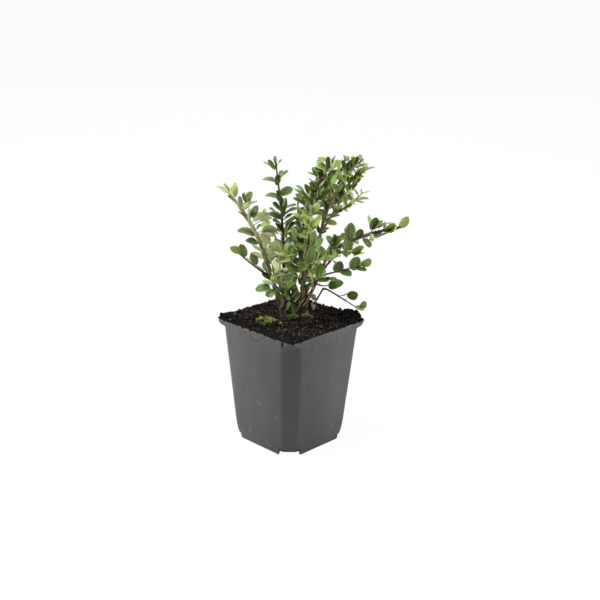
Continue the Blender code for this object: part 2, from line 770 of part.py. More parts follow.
def plan_stems(grove, limbs):
    """Place every shoot's stem before any twig or leaf, so that all of them keep clear of it."""
    stems = []
    for shoot in SHOOTS:
        limb, limb_curve, _ = limbs[shoot.limb]
        thickness = limb_radius(limb)(shoot.share)
        tip = plant(*shoot.tip)
        bow = plant(*shoot.bow)
        root_radius = shoot.radius * MM
        stem = leave(limb_curve, thickness, shoot.share, tip, bow, root_radius)

        def radius(t, root=root_radius, end=STEM_TIP_RADIUS * MM):
            return root + (end - root) * t

        segments = max(3, round(stem.length() / MM / STEP))
        part = tube(stem, radius, 4, segments)
        body = grove.add(shoot.name, *part)
        stems.append((shoot, stem, radius, part, body))
    return stems


def grow(grove, shoot, stem, radius, part, body, seed):
    """Grow one mass: twigs off its stem by a seeded rule, then leaves along them all."""
    rng = random.Random(seed)
    habit = HABITS[shoot.habit]
    mass = []
    length = stem.length() / MM
    twigs = []
    away = TWIG_EVERY * 0.6
    turn = first_turn(rng, habit.twig_step, habit, stem)
    while away < length - LAST_TWIG:
        if rng.random() < shoot.twigs:
            t = away / length
            heading = stem.heading(t)
            outward = spoke(habit, heading, turn + rng.uniform(-0.3, 0.3))
            aim = outward * math.sin(TWIG_LEAN) + heading * math.cos(TWIG_LEAN)
            reach = rng.uniform(*TWIG_LENGTH) * (1 - TWIG_SHORTEN * t) * MM
            foot = stem.point(t)
            twig = Curve(foot, foot + aim * reach, Vector((0, 0, 0.03 * reach)))

            def twig_radius(u):
                return (TWIG_RADIUS + (TWIG_TIP_RADIUS - TWIG_RADIUS) * u) * MM

            def grown_radius(u):
                return twig_radius(u) + CLEAR * MM

            verts, faces = tube(twig, twig_radius, 3, 2)
            free = foot + aim * (radius(t) + TWIG_CLEAR_FROM * MM)
            lifted = Curve(free, foot + aim * reach, Vector())
            grown, grown_faces = tube(lifted, grown_radius, 3, 2)
            if grove.is_clear(grown, grown_faces, (body,)):
                mass.append((verts, faces))
                twigs.append((twig, grove.add("twig", verts, faces)))
            turn += habit.twig_step
        away += TWIG_EVERY * rng.uniform(0.8, 1.2)
    leaf_along(grove, rng, habit, stem, FIRST_LEAF, shoot.leaf, shoot.spacing, body, mass)
    for twig, twig_body in twigs:
        size = shoot.leaf * TWIG_LEAF_SHARE
        leaf_along(grove, rng, habit, twig, FIRST_LEAF, size, shoot.spacing, twig_body, mass)
    return fuse(shoot.name, [part] + mass, shoot.tone)


def main():
    """Build the pot, its filling and the plant."""
    clear_scene()
    make_pot()
    make_compost()
    for number, (name, place, half_length, half_width, height) in enumerate(MOSSES):
        make_moss(name, place, half_length, half_width, height, 40 + number)
    grove = Grove()
    limbs = make_limbs(grove)
    stems = plan_stems(grove, limbs)
    for number, (shoot, stem, radius, part, body) in enumerate(stems):
        grow(grove, shoot, stem, radius, part, body, 100 + number)


main()
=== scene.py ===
"""A young wall cotoneaster in a square nursery pot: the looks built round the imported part.

Metres, +Z up. The plant spreads across the pot's diagonal, so its limbs are laid out in a frame of
their own: across (to the plant's right), near (towards the pot's corner at -X -Y) and up.
"""

import json
import logging
import math
import random
from dataclasses import dataclass, field
from enum import Enum
from typing import Self

import bpy
import numpy as np
from mathutils import Matrix, Vector

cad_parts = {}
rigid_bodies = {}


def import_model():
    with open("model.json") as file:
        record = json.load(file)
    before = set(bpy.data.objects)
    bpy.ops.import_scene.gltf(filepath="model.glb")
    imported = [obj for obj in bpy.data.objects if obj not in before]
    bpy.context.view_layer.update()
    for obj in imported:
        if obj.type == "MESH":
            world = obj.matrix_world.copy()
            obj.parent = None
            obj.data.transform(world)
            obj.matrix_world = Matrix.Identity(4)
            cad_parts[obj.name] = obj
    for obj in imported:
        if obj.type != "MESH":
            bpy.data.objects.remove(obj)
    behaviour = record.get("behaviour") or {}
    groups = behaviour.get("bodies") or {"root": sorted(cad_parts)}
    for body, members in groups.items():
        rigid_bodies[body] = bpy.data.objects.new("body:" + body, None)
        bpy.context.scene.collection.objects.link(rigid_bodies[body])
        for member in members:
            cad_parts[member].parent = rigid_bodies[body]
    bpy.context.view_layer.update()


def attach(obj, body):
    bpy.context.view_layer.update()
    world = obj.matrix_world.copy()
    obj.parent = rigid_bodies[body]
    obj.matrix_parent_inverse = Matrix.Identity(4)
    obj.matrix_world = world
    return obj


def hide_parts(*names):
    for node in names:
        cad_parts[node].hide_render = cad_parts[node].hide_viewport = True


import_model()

LOG = logging.getLogger("cotoneaster")
MM = 0.001
PLANT_TURN = math.radians(-45.85)
GOLDEN_TURN = math.radians(137.5)
Array = np.ndarray
Colour = tuple[float, float, float]
Socket = bpy.types.NodeSocket
Material = bpy.types.Material


def plant(across: float, near: float, up: float) -> Array:
    """A point of the plant's frame, in millimetres, as a point of the part in metres."""
    turn_cos = math.cos(PLANT_TURN)
    turn_sin = math.sin(PLANT_TURN)
    x = across * turn_cos + near * turn_sin
    y = across * turn_sin - near * turn_cos
    return np.array([x, y, up]) * MM


def unit(vectors: Array) -> Array:
    """Vectors along the last axis, each divided by its own length."""
    return vectors / np.maximum(np.linalg.norm(vectors, axis=-1, keepdims=True), 1e-12)


def smooth_step(values: Array, low: float, high: float) -> Array:
    """3 t^2 - 2 t^3, where t goes from 0 to 1 as the values go from low to high."""
    t = np.clip((values - low) / (high - low), 0, 1)
    return t * t * (3 - 2 * t)


def lattice_noise(points: Array, cell: float, seed: int) -> Array:
    """Smooth random values from -1 to 1 in space.

    Space is cut into cubes of the cell's size. Each cube corner has a hash of its whole-number place
    as its value, and a point takes the mean of the eight corners round it, weighted by the smooth
    step 3 t^2 - 2 t^3 of its place in the cube.

    Args:
        points: places, any shape with 3 last.
        cell: size of a cube, in the points' unit.
        seed: picks another field.

    Returns:
        One value per point.
    """
    scaled = points / cell
    whole = np.floor(scaled)
    part = scaled - whole
    part = part * part * (3 - 2 * part)
    whole = whole.astype(np.int64)
    total = np.zeros(points.shape[:-1])
    for corner in range(8):
        step = np.array([corner & 1, corner >> 1 & 1, corner >> 2])
        place = whole + step
        mixed = place[..., 0] * 374761393 + place[..., 1] * 668265263 + place[..., 2] * 975313579
        mixed = (mixed + seed * 144665377) & 0xFFFFFFFF
        mixed = ((mixed ^ (mixed >> 13)) * 1274126177) & 0xFFFFFFFF
        mixed = mixed ^ (mixed >> 16)
        weight = np.prod(np.where(step == 1, part, 1 - part), axis=-1)
        total += (mixed / 2 ** 31 - 1) * weight
    return total


def layered_noise(points: Array, cell: float, layers: int, seed: int) -> Array:
    """The sum of several noise fields, each with half the cell and half the height of the last."""
    total = np.zeros(points.shape[:-1])
    for layer in range(layers):
        total += lattice_noise(points, cell / 2 ** layer, seed + layer) / 2 ** layer
    return total


def grid_faces(rows: int, columns: int) -> Array:
    """Quads of rows of points, each row a closed ring, that face out of the tube they form."""
    row = np.arange(rows - 1)[:, None]
    column = np.arange(columns)[None, :]
    beside = (column + 1) % columns
    corners = [row * columns + column, row * columns + beside,
               (row + 1) * columns + beside, (row + 1) * columns + column]
    return np.stack(corners, axis=-1).reshape(-1, 4)


def pole_faces(rows: int, columns: int) -> tuple[Array, Array]:
    """Triangles that close a tube at its first and last row with the two points after its rows."""
    around = np.arange(columns)
    beside = (around + 1) % columns
    foot = np.full(columns, rows * columns)
    last = (rows - 1) * columns
    low = np.stack([foot, beside, around], axis=-1)
    high = np.stack([last + around, last + beside, foot + 1], axis=-1)
    return low, high


def sweep(paths: Array, radii: Array, sides: int) -> tuple[Array, Array]:
    """Closed tubes along paths.

    A ring stands square to its path. Its first spoke is the heading crossed with the axis that the
    path runs along least, its second the heading crossed with the first, and a point lies at
    path + (first cos a + second sin a) radius. A domed pole closes each end.

    Args:
        paths: (tubes, rings, 3).
        radii: (tubes, rings) or (tubes, rings, sides).
        sides: points in a ring.

    Returns:
        Points (tubes, rings * sides + 2, 3), and for each the same tube drawn straight: its spoke
        times the mean radius, and the way along the path.
    """
    tubes = len(paths)
    if radii.ndim == 2:
        radii = np.repeat(radii[..., None], sides, axis=2)
    heading = unit(np.gradient(paths, axis=1))
    mean = np.abs(unit(heading.mean(axis=1)))
    guide = np.eye(3)[np.argmin(mean, axis=1)]
    first = unit(np.cross(heading, guide[:, None, :]))
    second = np.cross(heading, first)
    angle = np.arange(sides) * (2 * math.pi / sides)
    turn_cos = np.cos(angle)[:, None]
    turn_sin = np.sin(angle)[:, None]
    spokes = first[:, :, None, :] * turn_cos + second[:, :, None, :] * turn_sin
    rings = paths[:, :, None, :] + spokes * radii[..., None]
    thick = radii.mean(axis=2)
    foot = paths[:, :1] - heading[:, :1] * thick[:, :1, None] * 0.5
    tip = paths[:, -1:] + heading[:, -1:] * thick[:, -1:, None] * 0.8
    step = np.linalg.norm(np.diff(paths, axis=1), axis=2)
    way = np.concatenate([np.zeros((tubes, 1)), np.cumsum(step, axis=1)], axis=1)
    flat = np.empty(rings.shape)
    flat[..., 0] = turn_cos[:, 0] * thick[:, :1, None]
    flat[..., 1] = turn_sin[:, 0] * thick[:, :1, None]
    flat[..., 2] = way[..., None]
    ends = np.zeros((tubes, 2, 3))
    ends[:, 1, 2] = way[:, -1]
    points = np.concatenate([rings.reshape(tubes, -1, 3), foot, tip], axis=1)
    return points, np.concatenate([flat.reshape(tubes, -1, 3), ends], axis=1)


def sweep_faces(rings: int, sides: int, slot: int = 0) -> list[tuple[Array, int]]:
    """The faces of one tube of sweep, with its material's number."""
    low, high = pole_faces(rings, sides)
    return [(grid_faces(rings, sides), slot), (np.concatenate([low, high]), slot)]


class Stock:
    """The points and faces of one piece, gathered as arrays from many equal shapes.

    Two vectors go with each point: grain, the place on the shape's own surface, and mark, numbers
    that the shape has as a whole, such as its tint.
    """

    def __init__(self) -> None:
        """Start empty."""
        self.points: list[Array] = []
        self.faces: list[Array] = []
        self.slots: list[Array] = []
        self.grain: list[Array] = []
        self.mark: list[Array] = []
        self.crease: list[Array] = []
        self.count = 0

    def add(self, points: Array, faces: list[tuple[Array, int]], grain: Array | float = 0.0,
            mark: Array | float = 0.0, crease: Array | bool = False) -> None:
        """Add equal shapes.

        Args:
            points: (shapes, points, 3).
            faces: pairs of one shape's faces (faces, corners) and their material's number.
            grain: place on the surface, in a shape that spreads to the points'.
            mark: the shape's numbers, in a shape that spreads to the points'.
            crease: whether a point of one shape is on a sharp line.
        """
        shapes, size = points.shape[:2]
        start = self.count + np.arange(shapes) * size
        for corners, slot in faces:
            moved = corners[None] + start[:, None, None]
            self.faces.append(moved.reshape(-1, corners.shape[1]))
            self.slots.append(np.full(shapes * len(corners), slot))
        self.points.append(points.reshape(-1, 3))
        self.grain.append(np.broadcast_to(grain, points.shape).reshape(-1, 3))
        self.mark.append(np.broadcast_to(mark, points.shape).reshape(-1, 3))
        self.crease.append(np.broadcast_to(crease, (shapes, size)).ravel())
        self.count += shapes * size

    def piece(self, name: str, materials: list[Material],
              replaced: tuple[str, ...] = (), smooth: bool = True) -> bpy.types.Object:
        """Make the scene's object, which rides on the part.

        Args:
            name: the object's name.
            materials: its materials, by number.
            replaced: the nodes that it stands for.
            smooth: whether its faces are shaded smooth.

        Returns:
            The object.
        """
        mesh = bpy.data.meshes.new(name)
        points = np.concatenate(self.points)
        corners = np.concatenate([faces.ravel() for faces in self.faces])
        sizes = np.concatenate([np.full(len(faces), faces.shape[1]) for faces in self.faces])
        mesh.vertices.add(len(points))
        mesh.vertices.foreach_set("co", points.astype(np.float32).ravel())
        mesh.loops.add(len(corners))
        mesh.loops.foreach_set("vertex_index", corners.astype(np.int32))
        mesh.polygons.add(len(sizes))
        mesh.polygons.foreach_set("loop_start", (np.cumsum(sizes) - sizes).astype(np.int32))
        mesh.polygons.foreach_set("material_index", np.concatenate(self.slots).astype(np.int32))
        mesh.polygons.foreach_set("use_smooth", np.full(len(sizes), smooth))
        for key, stored in (("grain", self.grain), ("mark", self.mark)):
            values = np.concatenate(stored).astype(np.float32).ravel()
            mesh.attributes.new(key, "FLOAT_VECTOR", "POINT").data.foreach_set("vector", values)
        mesh.update(calc_edges=True)
        crease = np.concatenate(self.crease)
        if crease.any():
            ends = np.empty(len(mesh.edges) * 2, np.int32)
            mesh.edges.foreach_get("vertices", ends)
            sharp = crease[ends].reshape(-1, 2).all(axis=1)
            mesh.attributes.new("sharp_edge", "BOOLEAN", "EDGE").data.foreach_set("value", sharp)
        for material in materials:
            mesh.materials.append(material)
        item = bpy.data.objects.new(name, mesh)
        bpy.context.scene.collection.objects.link(item)
        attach(item, "root")
        if replaced:
            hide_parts(*replaced)
        LOG.info("%s: %d faces", name, len(sizes))
        return item


class Graph:
    """Adds nodes to the tree of a material or a group and wires them."""

    def __init__(self, tree: bpy.types.NodeTree) -> None:
        """Keep the tree."""
        self.tree = tree

    def feed(self, socket: Socket, value: object) -> None:
        """Give a socket a value, or wire another socket to it."""
        if isinstance(value, bpy.types.NodeSocket):
            self.tree.links.new(value, socket)
        elif socket.type == "RGBA":
            socket.default_value = (*value, 1.0)
        else:
            socket.default_value = value

    def node(self, kind: str, inputs: dict | None = None, **settings: object) -> bpy.types.Node:
        """Add a node.

        Args:
            kind: the node's type, without the word Shader before it and Node after that.
            inputs: values or sockets by input name or number.
            settings: the node's own settings.

        Returns:
            The node.
        """
        made = self.tree.nodes.new("ShaderNode" + kind)
        for key, value in settings.items():
            setattr(made, key, value)
        for key, value in (inputs or {}).items():
            self.feed(made.inputs[key], value)
        return made

    def math(self, operation: str, first: object, second: object = 0.0) -> Socket:
        """A Math node's result."""
        return self.node("Math", {0: first, 1: second}, operation=operation).outputs[0]

    def mix(self, share: object, first: object, second: object, blend: str = "MIX") -> Socket:
        """A mix of two colours."""
        made = self.node("Mix", data_type="RGBA", blend_type=blend)
        self.feed(made.inputs["Factor"], share)
        self.feed(made.inputs["A"], first)
        self.feed(made.inputs["B"], second)
        return made.outputs["Result"]

    def ramp(self, value: object, low: float, high: float, start: float = 0.0, end: float = 1.0
             ) -> Socket:
        """A smooth step from start to end as the value goes from low to high."""
        made = self.node("MapRange", {"Value": value, "From Min": low, "From Max": high,
                                      "To Min": start, "To Max": end},
                         interpolation_type="SMOOTHSTEP")
        return made.outputs["Result"]

    def attribute(self, name: str) -> tuple[Socket, Socket, Socket, Socket]:
        """A point vector of the mesh: the vector and its three numbers."""
        made = self.node("Attribute", attribute_name=name)
        split = self.node("SeparateXYZ", {0: made.outputs["Vector"]})
        return made.outputs["Vector"], *split.outputs

    def noise(self, vector: object, scale: float, detail: float = 3.0, rough: float = 0.55) -> Socket:
        """A noise value round a half, with its scale in cells to the metre."""
        made = self.node("TexNoise", {"Vector": vector, "Scale": scale, "Detail": detail,
                                      "Roughness": rough})
        return made.outputs["Fac"]

    def stretch(self, vector: object, scale: tuple[float, float, float]) -> Socket:
        """A vector with its three numbers multiplied."""
        return self.node("VectorMath", {0: vector, 1: scale}, operation="MULTIPLY").outputs[0]

    def bump(self, height: object, depth: float, strength: float = 1.0) -> Socket:
        """A bumped normal, whose full height is depth metres."""
        made = self.node("Bump", {"Height": height, "Distance": depth, "Strength": strength})
        return made.outputs["Normal"]


def new_material(name: str) -> tuple[Material, Graph, bpy.types.Node]:
    """A material with its graph and its Principled shader."""
    material = bpy.data.materials.new(name)
    material.use_nodes = True
    shader = material.node_tree.nodes["Principled BSDF"]
    return material, Graph(material.node_tree), shader


def new_group(name: str, inputs: dict[str, tuple[str, object]], outputs: dict[str, str]
              ) -> tuple[Graph, bpy.types.Node, bpy.types.Node]:
    """Start a shader node group.

    Args:
        name: the group's name.
        inputs: socket kind and default by name.
        outputs: socket kind by name.

    Returns:
        Its graph, its input node and its output node.
    """
    tree = bpy.data.node_groups.new(name, "ShaderNodeTree")
    for key, (kind, value) in inputs.items():
        made = tree.interface.new_socket(key, in_out="INPUT", socket_type="NodeSocket" + kind)
        made.default_value = (*value, 1.0) if kind == "Color" else value
    for key, kind in outputs.items():
        tree.interface.new_socket(key, in_out="OUTPUT", socket_type="NodeSocket" + kind)
    start = tree.nodes.new("NodeGroupInput")
    end = tree.nodes.new("NodeGroupOutput")
    return Graph(tree), start, end


@dataclass(frozen=True)
class PotPlastic:
    """Matt dark grey polypropylene, dusty and a little scuffed."""

    colour: Colour = (0.0345, 0.0352, 0.0362)
    pale: Colour = (0.0510, 0.0524, 0.0524)
    dust: Colour = (0.092, 0.086, 0.083)
    # Painted shade, laid on the near corner and in the label slots.
    painted_shade: Colour = (0.004, 0.004, 0.004)
    roughness: float = 0.52

    def material(self) -> Material:
        """Make the material.

        Two broad noises pale the grey, one of them drawn out upwards as the plastic flowed. A fine
        grain roughens it, blots of dust lie below the rim and above the foot, painted shade darkens the
        near corner, and the mark's first number lays painted shade in the label slots.

        Returns:
            The material.
        """
        material, graph, shader = new_material("pot_plastic")
        place = graph.node("TexCoord").outputs["Object"]
        cloud = graph.noise(place, 28, 4, 0.6)
        flow = graph.noise(graph.stretch(place, (1, 1, 0.12)), 130, 3)
        shade = graph.math("ADD", graph.math("MULTIPLY", cloud, 0.65), graph.math("MULTIPLY", flow, 0.35))
        colour = graph.mix(graph.ramp(shade, 0.36, 0.66), self.colour, self.pale)
        x, y, height = graph.node("SeparateXYZ", {0: place}).outputs
        # Painted shade: the colour darkens towards the near corner at -X -Y.
        corner = graph.ramp(graph.math("ADD", x, y), -0.074, -0.004, 0.58, 0.0)
        colour = graph.mix(corner, colour, self.painted_shade)
        speck = graph.ramp(graph.noise(place, 310, 3, 0.6), 0.50, 0.68)
        below_rim = graph.ramp(height, 0.090, 0.103)
        above_foot = graph.ramp(height, 0.012, 0.0, 0.0, 0.6)
        dusty = graph.math("MULTIPLY", speck, graph.math("MAXIMUM", below_rim, above_foot))
        colour = graph.mix(graph.math("MULTIPLY", dusty, 0.55), colour, self.dust)
        vector, slot, second, third = graph.attribute("mark")
        # Painted shade in the label slots, by the mark's first number.
        colour = graph.mix(graph.math("MULTIPLY", slot, 0.85), colour, self.painted_shade)
        for mark in MARKS:
            colour = mark.paint(graph, place, colour)
        graph.feed(shader.inputs["Base Color"], colour)
        grain = graph.noise(place, 2600, 2, 0.5)
        rough = graph.math("ADD", graph.math("MULTIPLY", cloud, 0.16), self.roughness - 0.08)
        graph.feed(shader.inputs["Roughness"], rough)
        dents = graph.math("ADD", graph.math("MULTIPLY", grain, 0.35), graph.noise(place, 90, 2))
        graph.feed(shader.inputs["Normal"], graph.bump(dents, 0.00022, 0.5))
        return material


@dataclass(frozen=True)
class Mark:
    """A scuff, dot, smear, or stripe of painted shade or highlight on one of the pot's faces, in millimetres:
    soft-edged and slightly long.
    """

    centre: tuple[float, float, float]
    along: tuple[float, float, float]
    half_length: float
    half_width: float
    colour: Colour
    strength: float

    def paint(self, graph: Graph, place: Socket, colour: Socket) -> Socket:
        """Lay the mark over a colour.

        The point's offset from the centre is measured along the mark and off it, each divided by its
        half size, and the mark fades out as the root of the sum of their squares goes to one.

        Args:
            graph: the material's graph.
            place: Object coordinates.
            colour: the colour beneath.

        Returns:
            The colour with the mark on it.
        """
        centre = tuple(value * MM for value in self.centre)
        offset = graph.node("VectorMath", {0: place, 1: centre}, operation="SUBTRACT").outputs[0]
        direction = tuple(unit(np.array(self.along)))
        along = graph.node("VectorMath", {0: offset, 1: direction}, operation="DOT_PRODUCT").outputs[1]
        away = graph.node("VectorMath", {0: offset}, operation="LENGTH").outputs[1]
        square = graph.math("MULTIPLY", along, along)
        off = graph.math("SUBTRACT", graph.math("MULTIPLY", away, away), square)
        first = graph.math("MULTIPLY", square, 1 / (self.half_length * MM) ** 2)
        second = graph.math("MULTIPLY", off, 1 / (self.half_width * MM) ** 2)
        share = graph.ramp(graph.math("ADD", first, second), 1.0, 0.1, 0.0, self.strength)
        return graph.mix(share, colour, self.colour)


MARKS = (
    Mark((-39.8, -4.0, 41.5), (0, -1, -0.32), 6.0, 1.6, (0.110, 0.110, 0.115), 0.34),
    Mark((-38.6, -22.6, 34), (0, -1, -0.6), 2.6, 1.8, (0.100, 0.100, 0.105), 0.24),
    Mark((-40.6, 13.9, 52), (0, 0.4, 1), 2.6, 2.2, (0.012, 0.012, 0.014), 0.7),
    Mark((-37.0, -1.5, 16), (0, 0, 1), 3.6, 1.8, (0.022, 0.022, 0.024), 0.5),
    Mark((-22.2, -41.2, 62), (1, 0, 0.1), 3.2, 2.4, (0.012, 0.012, 0.014), 0.6),
    # Painted shade and painted highlight: each pair is a dark stripe beside a pale one, low on a face above the foot.
    Mark((-36.3, 14, 13), (0, -0.3, 1), 5.0, 1.5, (0.022, 0.022, 0.023), 0.6),
    Mark((-36.3, 10.2, 12), (0, -0.3, 1), 5.0, 1.5, (0.120, 0.120, 0.120), 0.4),
    Mark((11, -36.8, 16), (0.3, 0, 1), 5.0, 1.5, (0.022, 0.022, 0.023), 0.6),
    Mark((14, -36.6, 15), (0.3, 0, 1), 5.0, 1.5, (0.120, 0.120, 0.120), 0.4),
    Mark((-42, -42, 101), (1, -1, 0), 9.0, 4.5, (0.016, 0.013, 0.012), 0.75),
)


@dataclass
class NurseryPot:
    """The square pot, in millimetres: a thin wall round and under, drawn in to the foot."""

    half_rim: float = 45.0
    half_neck: float = 43.9
    half_foot: float = 35.1
    height: float = 105.0
    neck: float = 99.2
    flare: float = 2.0
    rim_corner: float = 6.8
    neck_cut: float = 10.5
    foot_cut: float = 8.6
    fillet: float = 6.4
    swell: float = 1.1
    wall: float = 1.1
    floor_under: float = 3.4
    floor_top: float = 4.6
    notch: float = 5.2
    pad: float = 12.0
    drain: float = 3.6
    drain_reach: float = 26.0
    slot_place: float = -4.0
    slot_half: float = 6.2
    slot_foot: float = 97.1
    slot_radius: float = 7.4
    slot_depth: float = 0.25

    def columns(self) -> tuple[Array, Array, Array, Array]:
        """The places round the outline.

        A quarter turn has a bend, a flat across the cut corner, a second bend and a straight side.

        Returns:
            For each place: its quarter, the angle that its bend has turned by, how far across the
            cut it is, and how far along the side.
        """
        ends = np.array([0.006, 0.014, 0.024, 0.036, 0.055, 0.09])
        plain = np.concatenate([ends, np.linspace(0.14, 0.86, 9), 1 - ends[::-1]])
        dense = (1 - self.slot_place / 31.0) / 2 + np.linspace(-0.12, 0.12, 50)
        beside = np.array([0.14, 0.21, 0.28, 0.35, 0.42, 0.49, 0.56, 0.63, 0.70, 0.77, 0.84])
        beside = beside[np.abs(beside - dense.mean()) > 0.135]
        slotted = np.sort(np.concatenate([ends, beside, dense, 1 - ends]))
        quarter, turn, across, along = [], [], [], []
        bend = np.linspace(0, math.pi / 4, 8)
        for number in range(4):
            side = slotted if number % 2 else plain
            flat = np.array([0.25, 0.5, 0.75])
            turn.append(np.concatenate([bend, np.full(3, bend[-1]), bend + bend[-1],
                                        np.full(len(side), math.pi / 2)]))
            across.append(np.concatenate([np.zeros(8), flat, np.ones(8), np.ones(len(side))]))
            along.append(np.concatenate([np.zeros(19), side]))
            quarter.append(np.full(19 + len(side), number))
        return tuple(np.concatenate(item) for item in (quarter, turn, across, along))

    def outline(self, half: Array, cut: Array, bend: Array) -> tuple[Array, Array]:
        """The outlines at several heights.

        The two bends of a corner have their centres at (half - bend, q) and (q, half - bend), with
        q = half - cut - 0.414 bend, which makes the flat between them touch both. A full round is
        the case q = half - bend.

        Args:
            half: half the width, one value per height.
            cut: leg of the cut corner.
            bend: radius of the bends.

        Returns:
            x and y, each (heights, places).
        """
        quarter, turn, across, along = self.columns()
        half, cut, bend = half[:, None], cut[:, None], bend[:, None]
        q = half - cut - (math.sqrt(2) - 1) * bend
        x = (half - bend) * (1 - across) + q * across + bend * np.cos(turn)
        y = q * (1 - across) + (half - bend) * across + bend * np.sin(turn)
        side = along > 0
        x = np.where(side, q * (1 - 2 * along), x)
        y = np.where(side, half, y)
        angle = quarter * (math.pi / 2)
        return x * np.cos(angle) - y * np.sin(angle), x * np.sin(angle) + y * np.cos(angle)

    def sizes(self, height: Array) -> tuple[Array, Array, Array]:
        """Half width, cut and bend at heights: even up to the neck, then flaring to the round rim."""
        rise = height / (self.height - 5.6)
        half = self.half_foot + (self.half_neck - self.half_foot) * rise
        cut = self.foot_cut + (self.neck_cut - self.foot_cut) * rise
        flare = smooth_step(height, self.neck, self.neck + self.flare)
        lip = self.half_rim - 0.22 * (self.height - height)
        round_cut = self.rim_corner * (2 - math.sqrt(2))
        half = half + (lip - half) * flare
        cut = cut + (round_cut - cut) * flare
        bend = self.fillet + (self.rim_corner - self.fillet) * flare
        return half, cut, bend

    def rows(self) -> tuple[Array, Array]:
        """Heights of the outside's rows, and of the inside's from the rim down."""
        fine = np.arange(self.slot_foot - 0.9, self.slot_foot + 4.2, 0.3)
        low = np.array([0, 0.5, 1.2, 2.2, 3.4, 4.6, 6, 8, 11])
        outside = np.concatenate([low, np.arange(16, 90, 6.0), [90, 93, 95.2], fine,
                                  [101.7, 102.5, 103.3, 104.0]])
        inside = np.array([104.0, 102.5, 100, 97, 93, 80, 60, 40, 20, self.floor_top])
        return outside, inside

    def slots(self, x: Array, y: Array, height: Array) -> Array:
        """How far each place of the outside lies in a label slot, from 0 to 1.

        A slot is the lower arc of a circle, cut where the distance from that circle is less than a
        width that narrows to both its ends.
        """
        aside = np.where(x < 0, y - self.slot_place, y + self.slot_place)
        above = height - (self.slot_foot + self.slot_radius)
        ring = np.abs(np.hypot(aside, above) - self.slot_radius)
        narrow = 1 - (aside / self.slot_half) ** 2
        width = 0.8 * np.sqrt(np.clip(narrow, 0, 1))
        cut = smooth_step(width - ring, -0.2, 0.3)
        return cut * ((np.abs(x) > np.abs(y) + 8) & (above < 0))

    def relief(self, x: Array, y: Array, height: Array) -> Array:
        """How far the outside stands off its plain shape, which is hollowed by the label slots.

        The soil swells each face in its middle, by swell times a parabola across the face and half
        a sine up it.

        Args:
            x: places.
            y: places.
            height: heights.

        Returns:
            The offset outwards at each place.
        """
        share = np.clip(height / self.height, 0, 1)
        flat = 1 - np.minimum(np.abs(x), np.abs(y)) ** 2 / 34.0 ** 2
        swell = self.swell * np.clip(flat, 0, 1) * np.sin(share * math.pi)
        places = np.stack(np.broadcast_arrays(x, y, height), axis=-1)
        uneven = 0.16 * lattice_noise(places, 24.0, 5) + 0.07 * lattice_noise(places, 9.0, 6)
        return swell + uneven - self.slot_depth * self.slots(x, y, height)

    def build(self) -> bpy.types.Object:
        """Make the pot with its finish.

        Its rows run from the middle of the underside outwards, up the outside, over the rim and down
        the inside to the middle of the floor.

        Returns:
            The pot's object.
        """
        outside, inside = self.rows()
        x, y = self.outline(*self.sizes(outside))
        heights = np.repeat(outside[:, None], x.shape[1], axis=1)
        quarter, turn, across, along = self.columns()
        off_corner = np.where(along > 0, (1 - np.abs(2 * along - 1)) * 25, 0)
        curve = np.where(along > 0, 0, 0.35 * (1 - (2 * across - 1) ** 2))
        edge = (self.notch + curve) * (1 - smooth_step(off_corner, 0.5, 1.7))
        heights = heights + edge * np.clip(1 - heights / 11, 0, 1)
        push = self.relief(x, y, heights)
        reach = np.hypot(x, y)
        x = x * (1 + push / reach)
        y = y * (1 + push / reach)
        thin = self.wall
        rim_half = np.array([0.0, 0.12, 0.38, thin - 0.38, thin - 0.12])
        rim_height = np.array([104.5, 104.85, 105.0, 105.0, 104.85])
        half, cut, bend = self.sizes(rim_height)
        rim_x, rim_y = self.outline(half - rim_half, cut - 0.586 * rim_half, bend - rim_half)
        half, cut, bend = self.sizes(inside)
        in_x, in_y = self.outline(half - thin, cut - 0.586 * thin, np.maximum(bend - thin, 0.4))
        half, cut, bend = self.sizes(np.array([self.floor_under, 0.0]))
        skirt_x, skirt_y = self.outline(half - thin, cut - 0.586 * thin, np.maximum(bend - thin, 0.4))
        skirt_height = np.stack([np.full(len(edge), self.floor_under), edge])
        angle = np.arctan2(skirt_y[0], skirt_x[0])
        circle_x = self.pad * np.cos(angle)[None].repeat(2, axis=0)
        circle_y = self.pad * np.sin(angle)[None].repeat(2, axis=0)
        circle_height = np.array([0.0, self.floor_under])[:, None].repeat(len(angle), axis=1)
        rim_heights = rim_height[:, None].repeat(len(angle), axis=1)
        in_heights = inside[:, None].repeat(len(angle), axis=1)
        grid = np.stack([
            np.concatenate([circle_x, skirt_x, x, rim_x, in_x]),
            np.concatenate([circle_y, skirt_y, y, rim_y, in_y]),
            np.concatenate([circle_height, skirt_height, heights, rim_heights, in_heights]),
        ], axis=-1)
        rows, columns = grid.shape[:2]
        poles = np.array([[0, 0, 0], [0, 0, self.floor_top]])
        points = np.concatenate([grid.reshape(-1, 3), poles]) * MM
        stock = Stock()
        stock.add(points[None], sweep_faces(rows, columns))
        pot = stock.piece("nursery_pot", [PotPlastic().material()], ("pot",))
        self.pierce(pot)
        self.shade_slots(pot.data)
        return pot

    def shade_slots(self, mesh: bpy.types.Mesh) -> None:
        """Write how far each point lies in a label slot, where the material paints shade."""
        places = np.empty(len(mesh.vertices) * 3, np.float32)
        mesh.vertices.foreach_get("co", places)
        mark = places.reshape(-1, 3) / MM
        mark[:, 0] = self.slots(*mark.T)
        mesh.attributes["mark"].data.foreach_set("vector", mark.ravel())

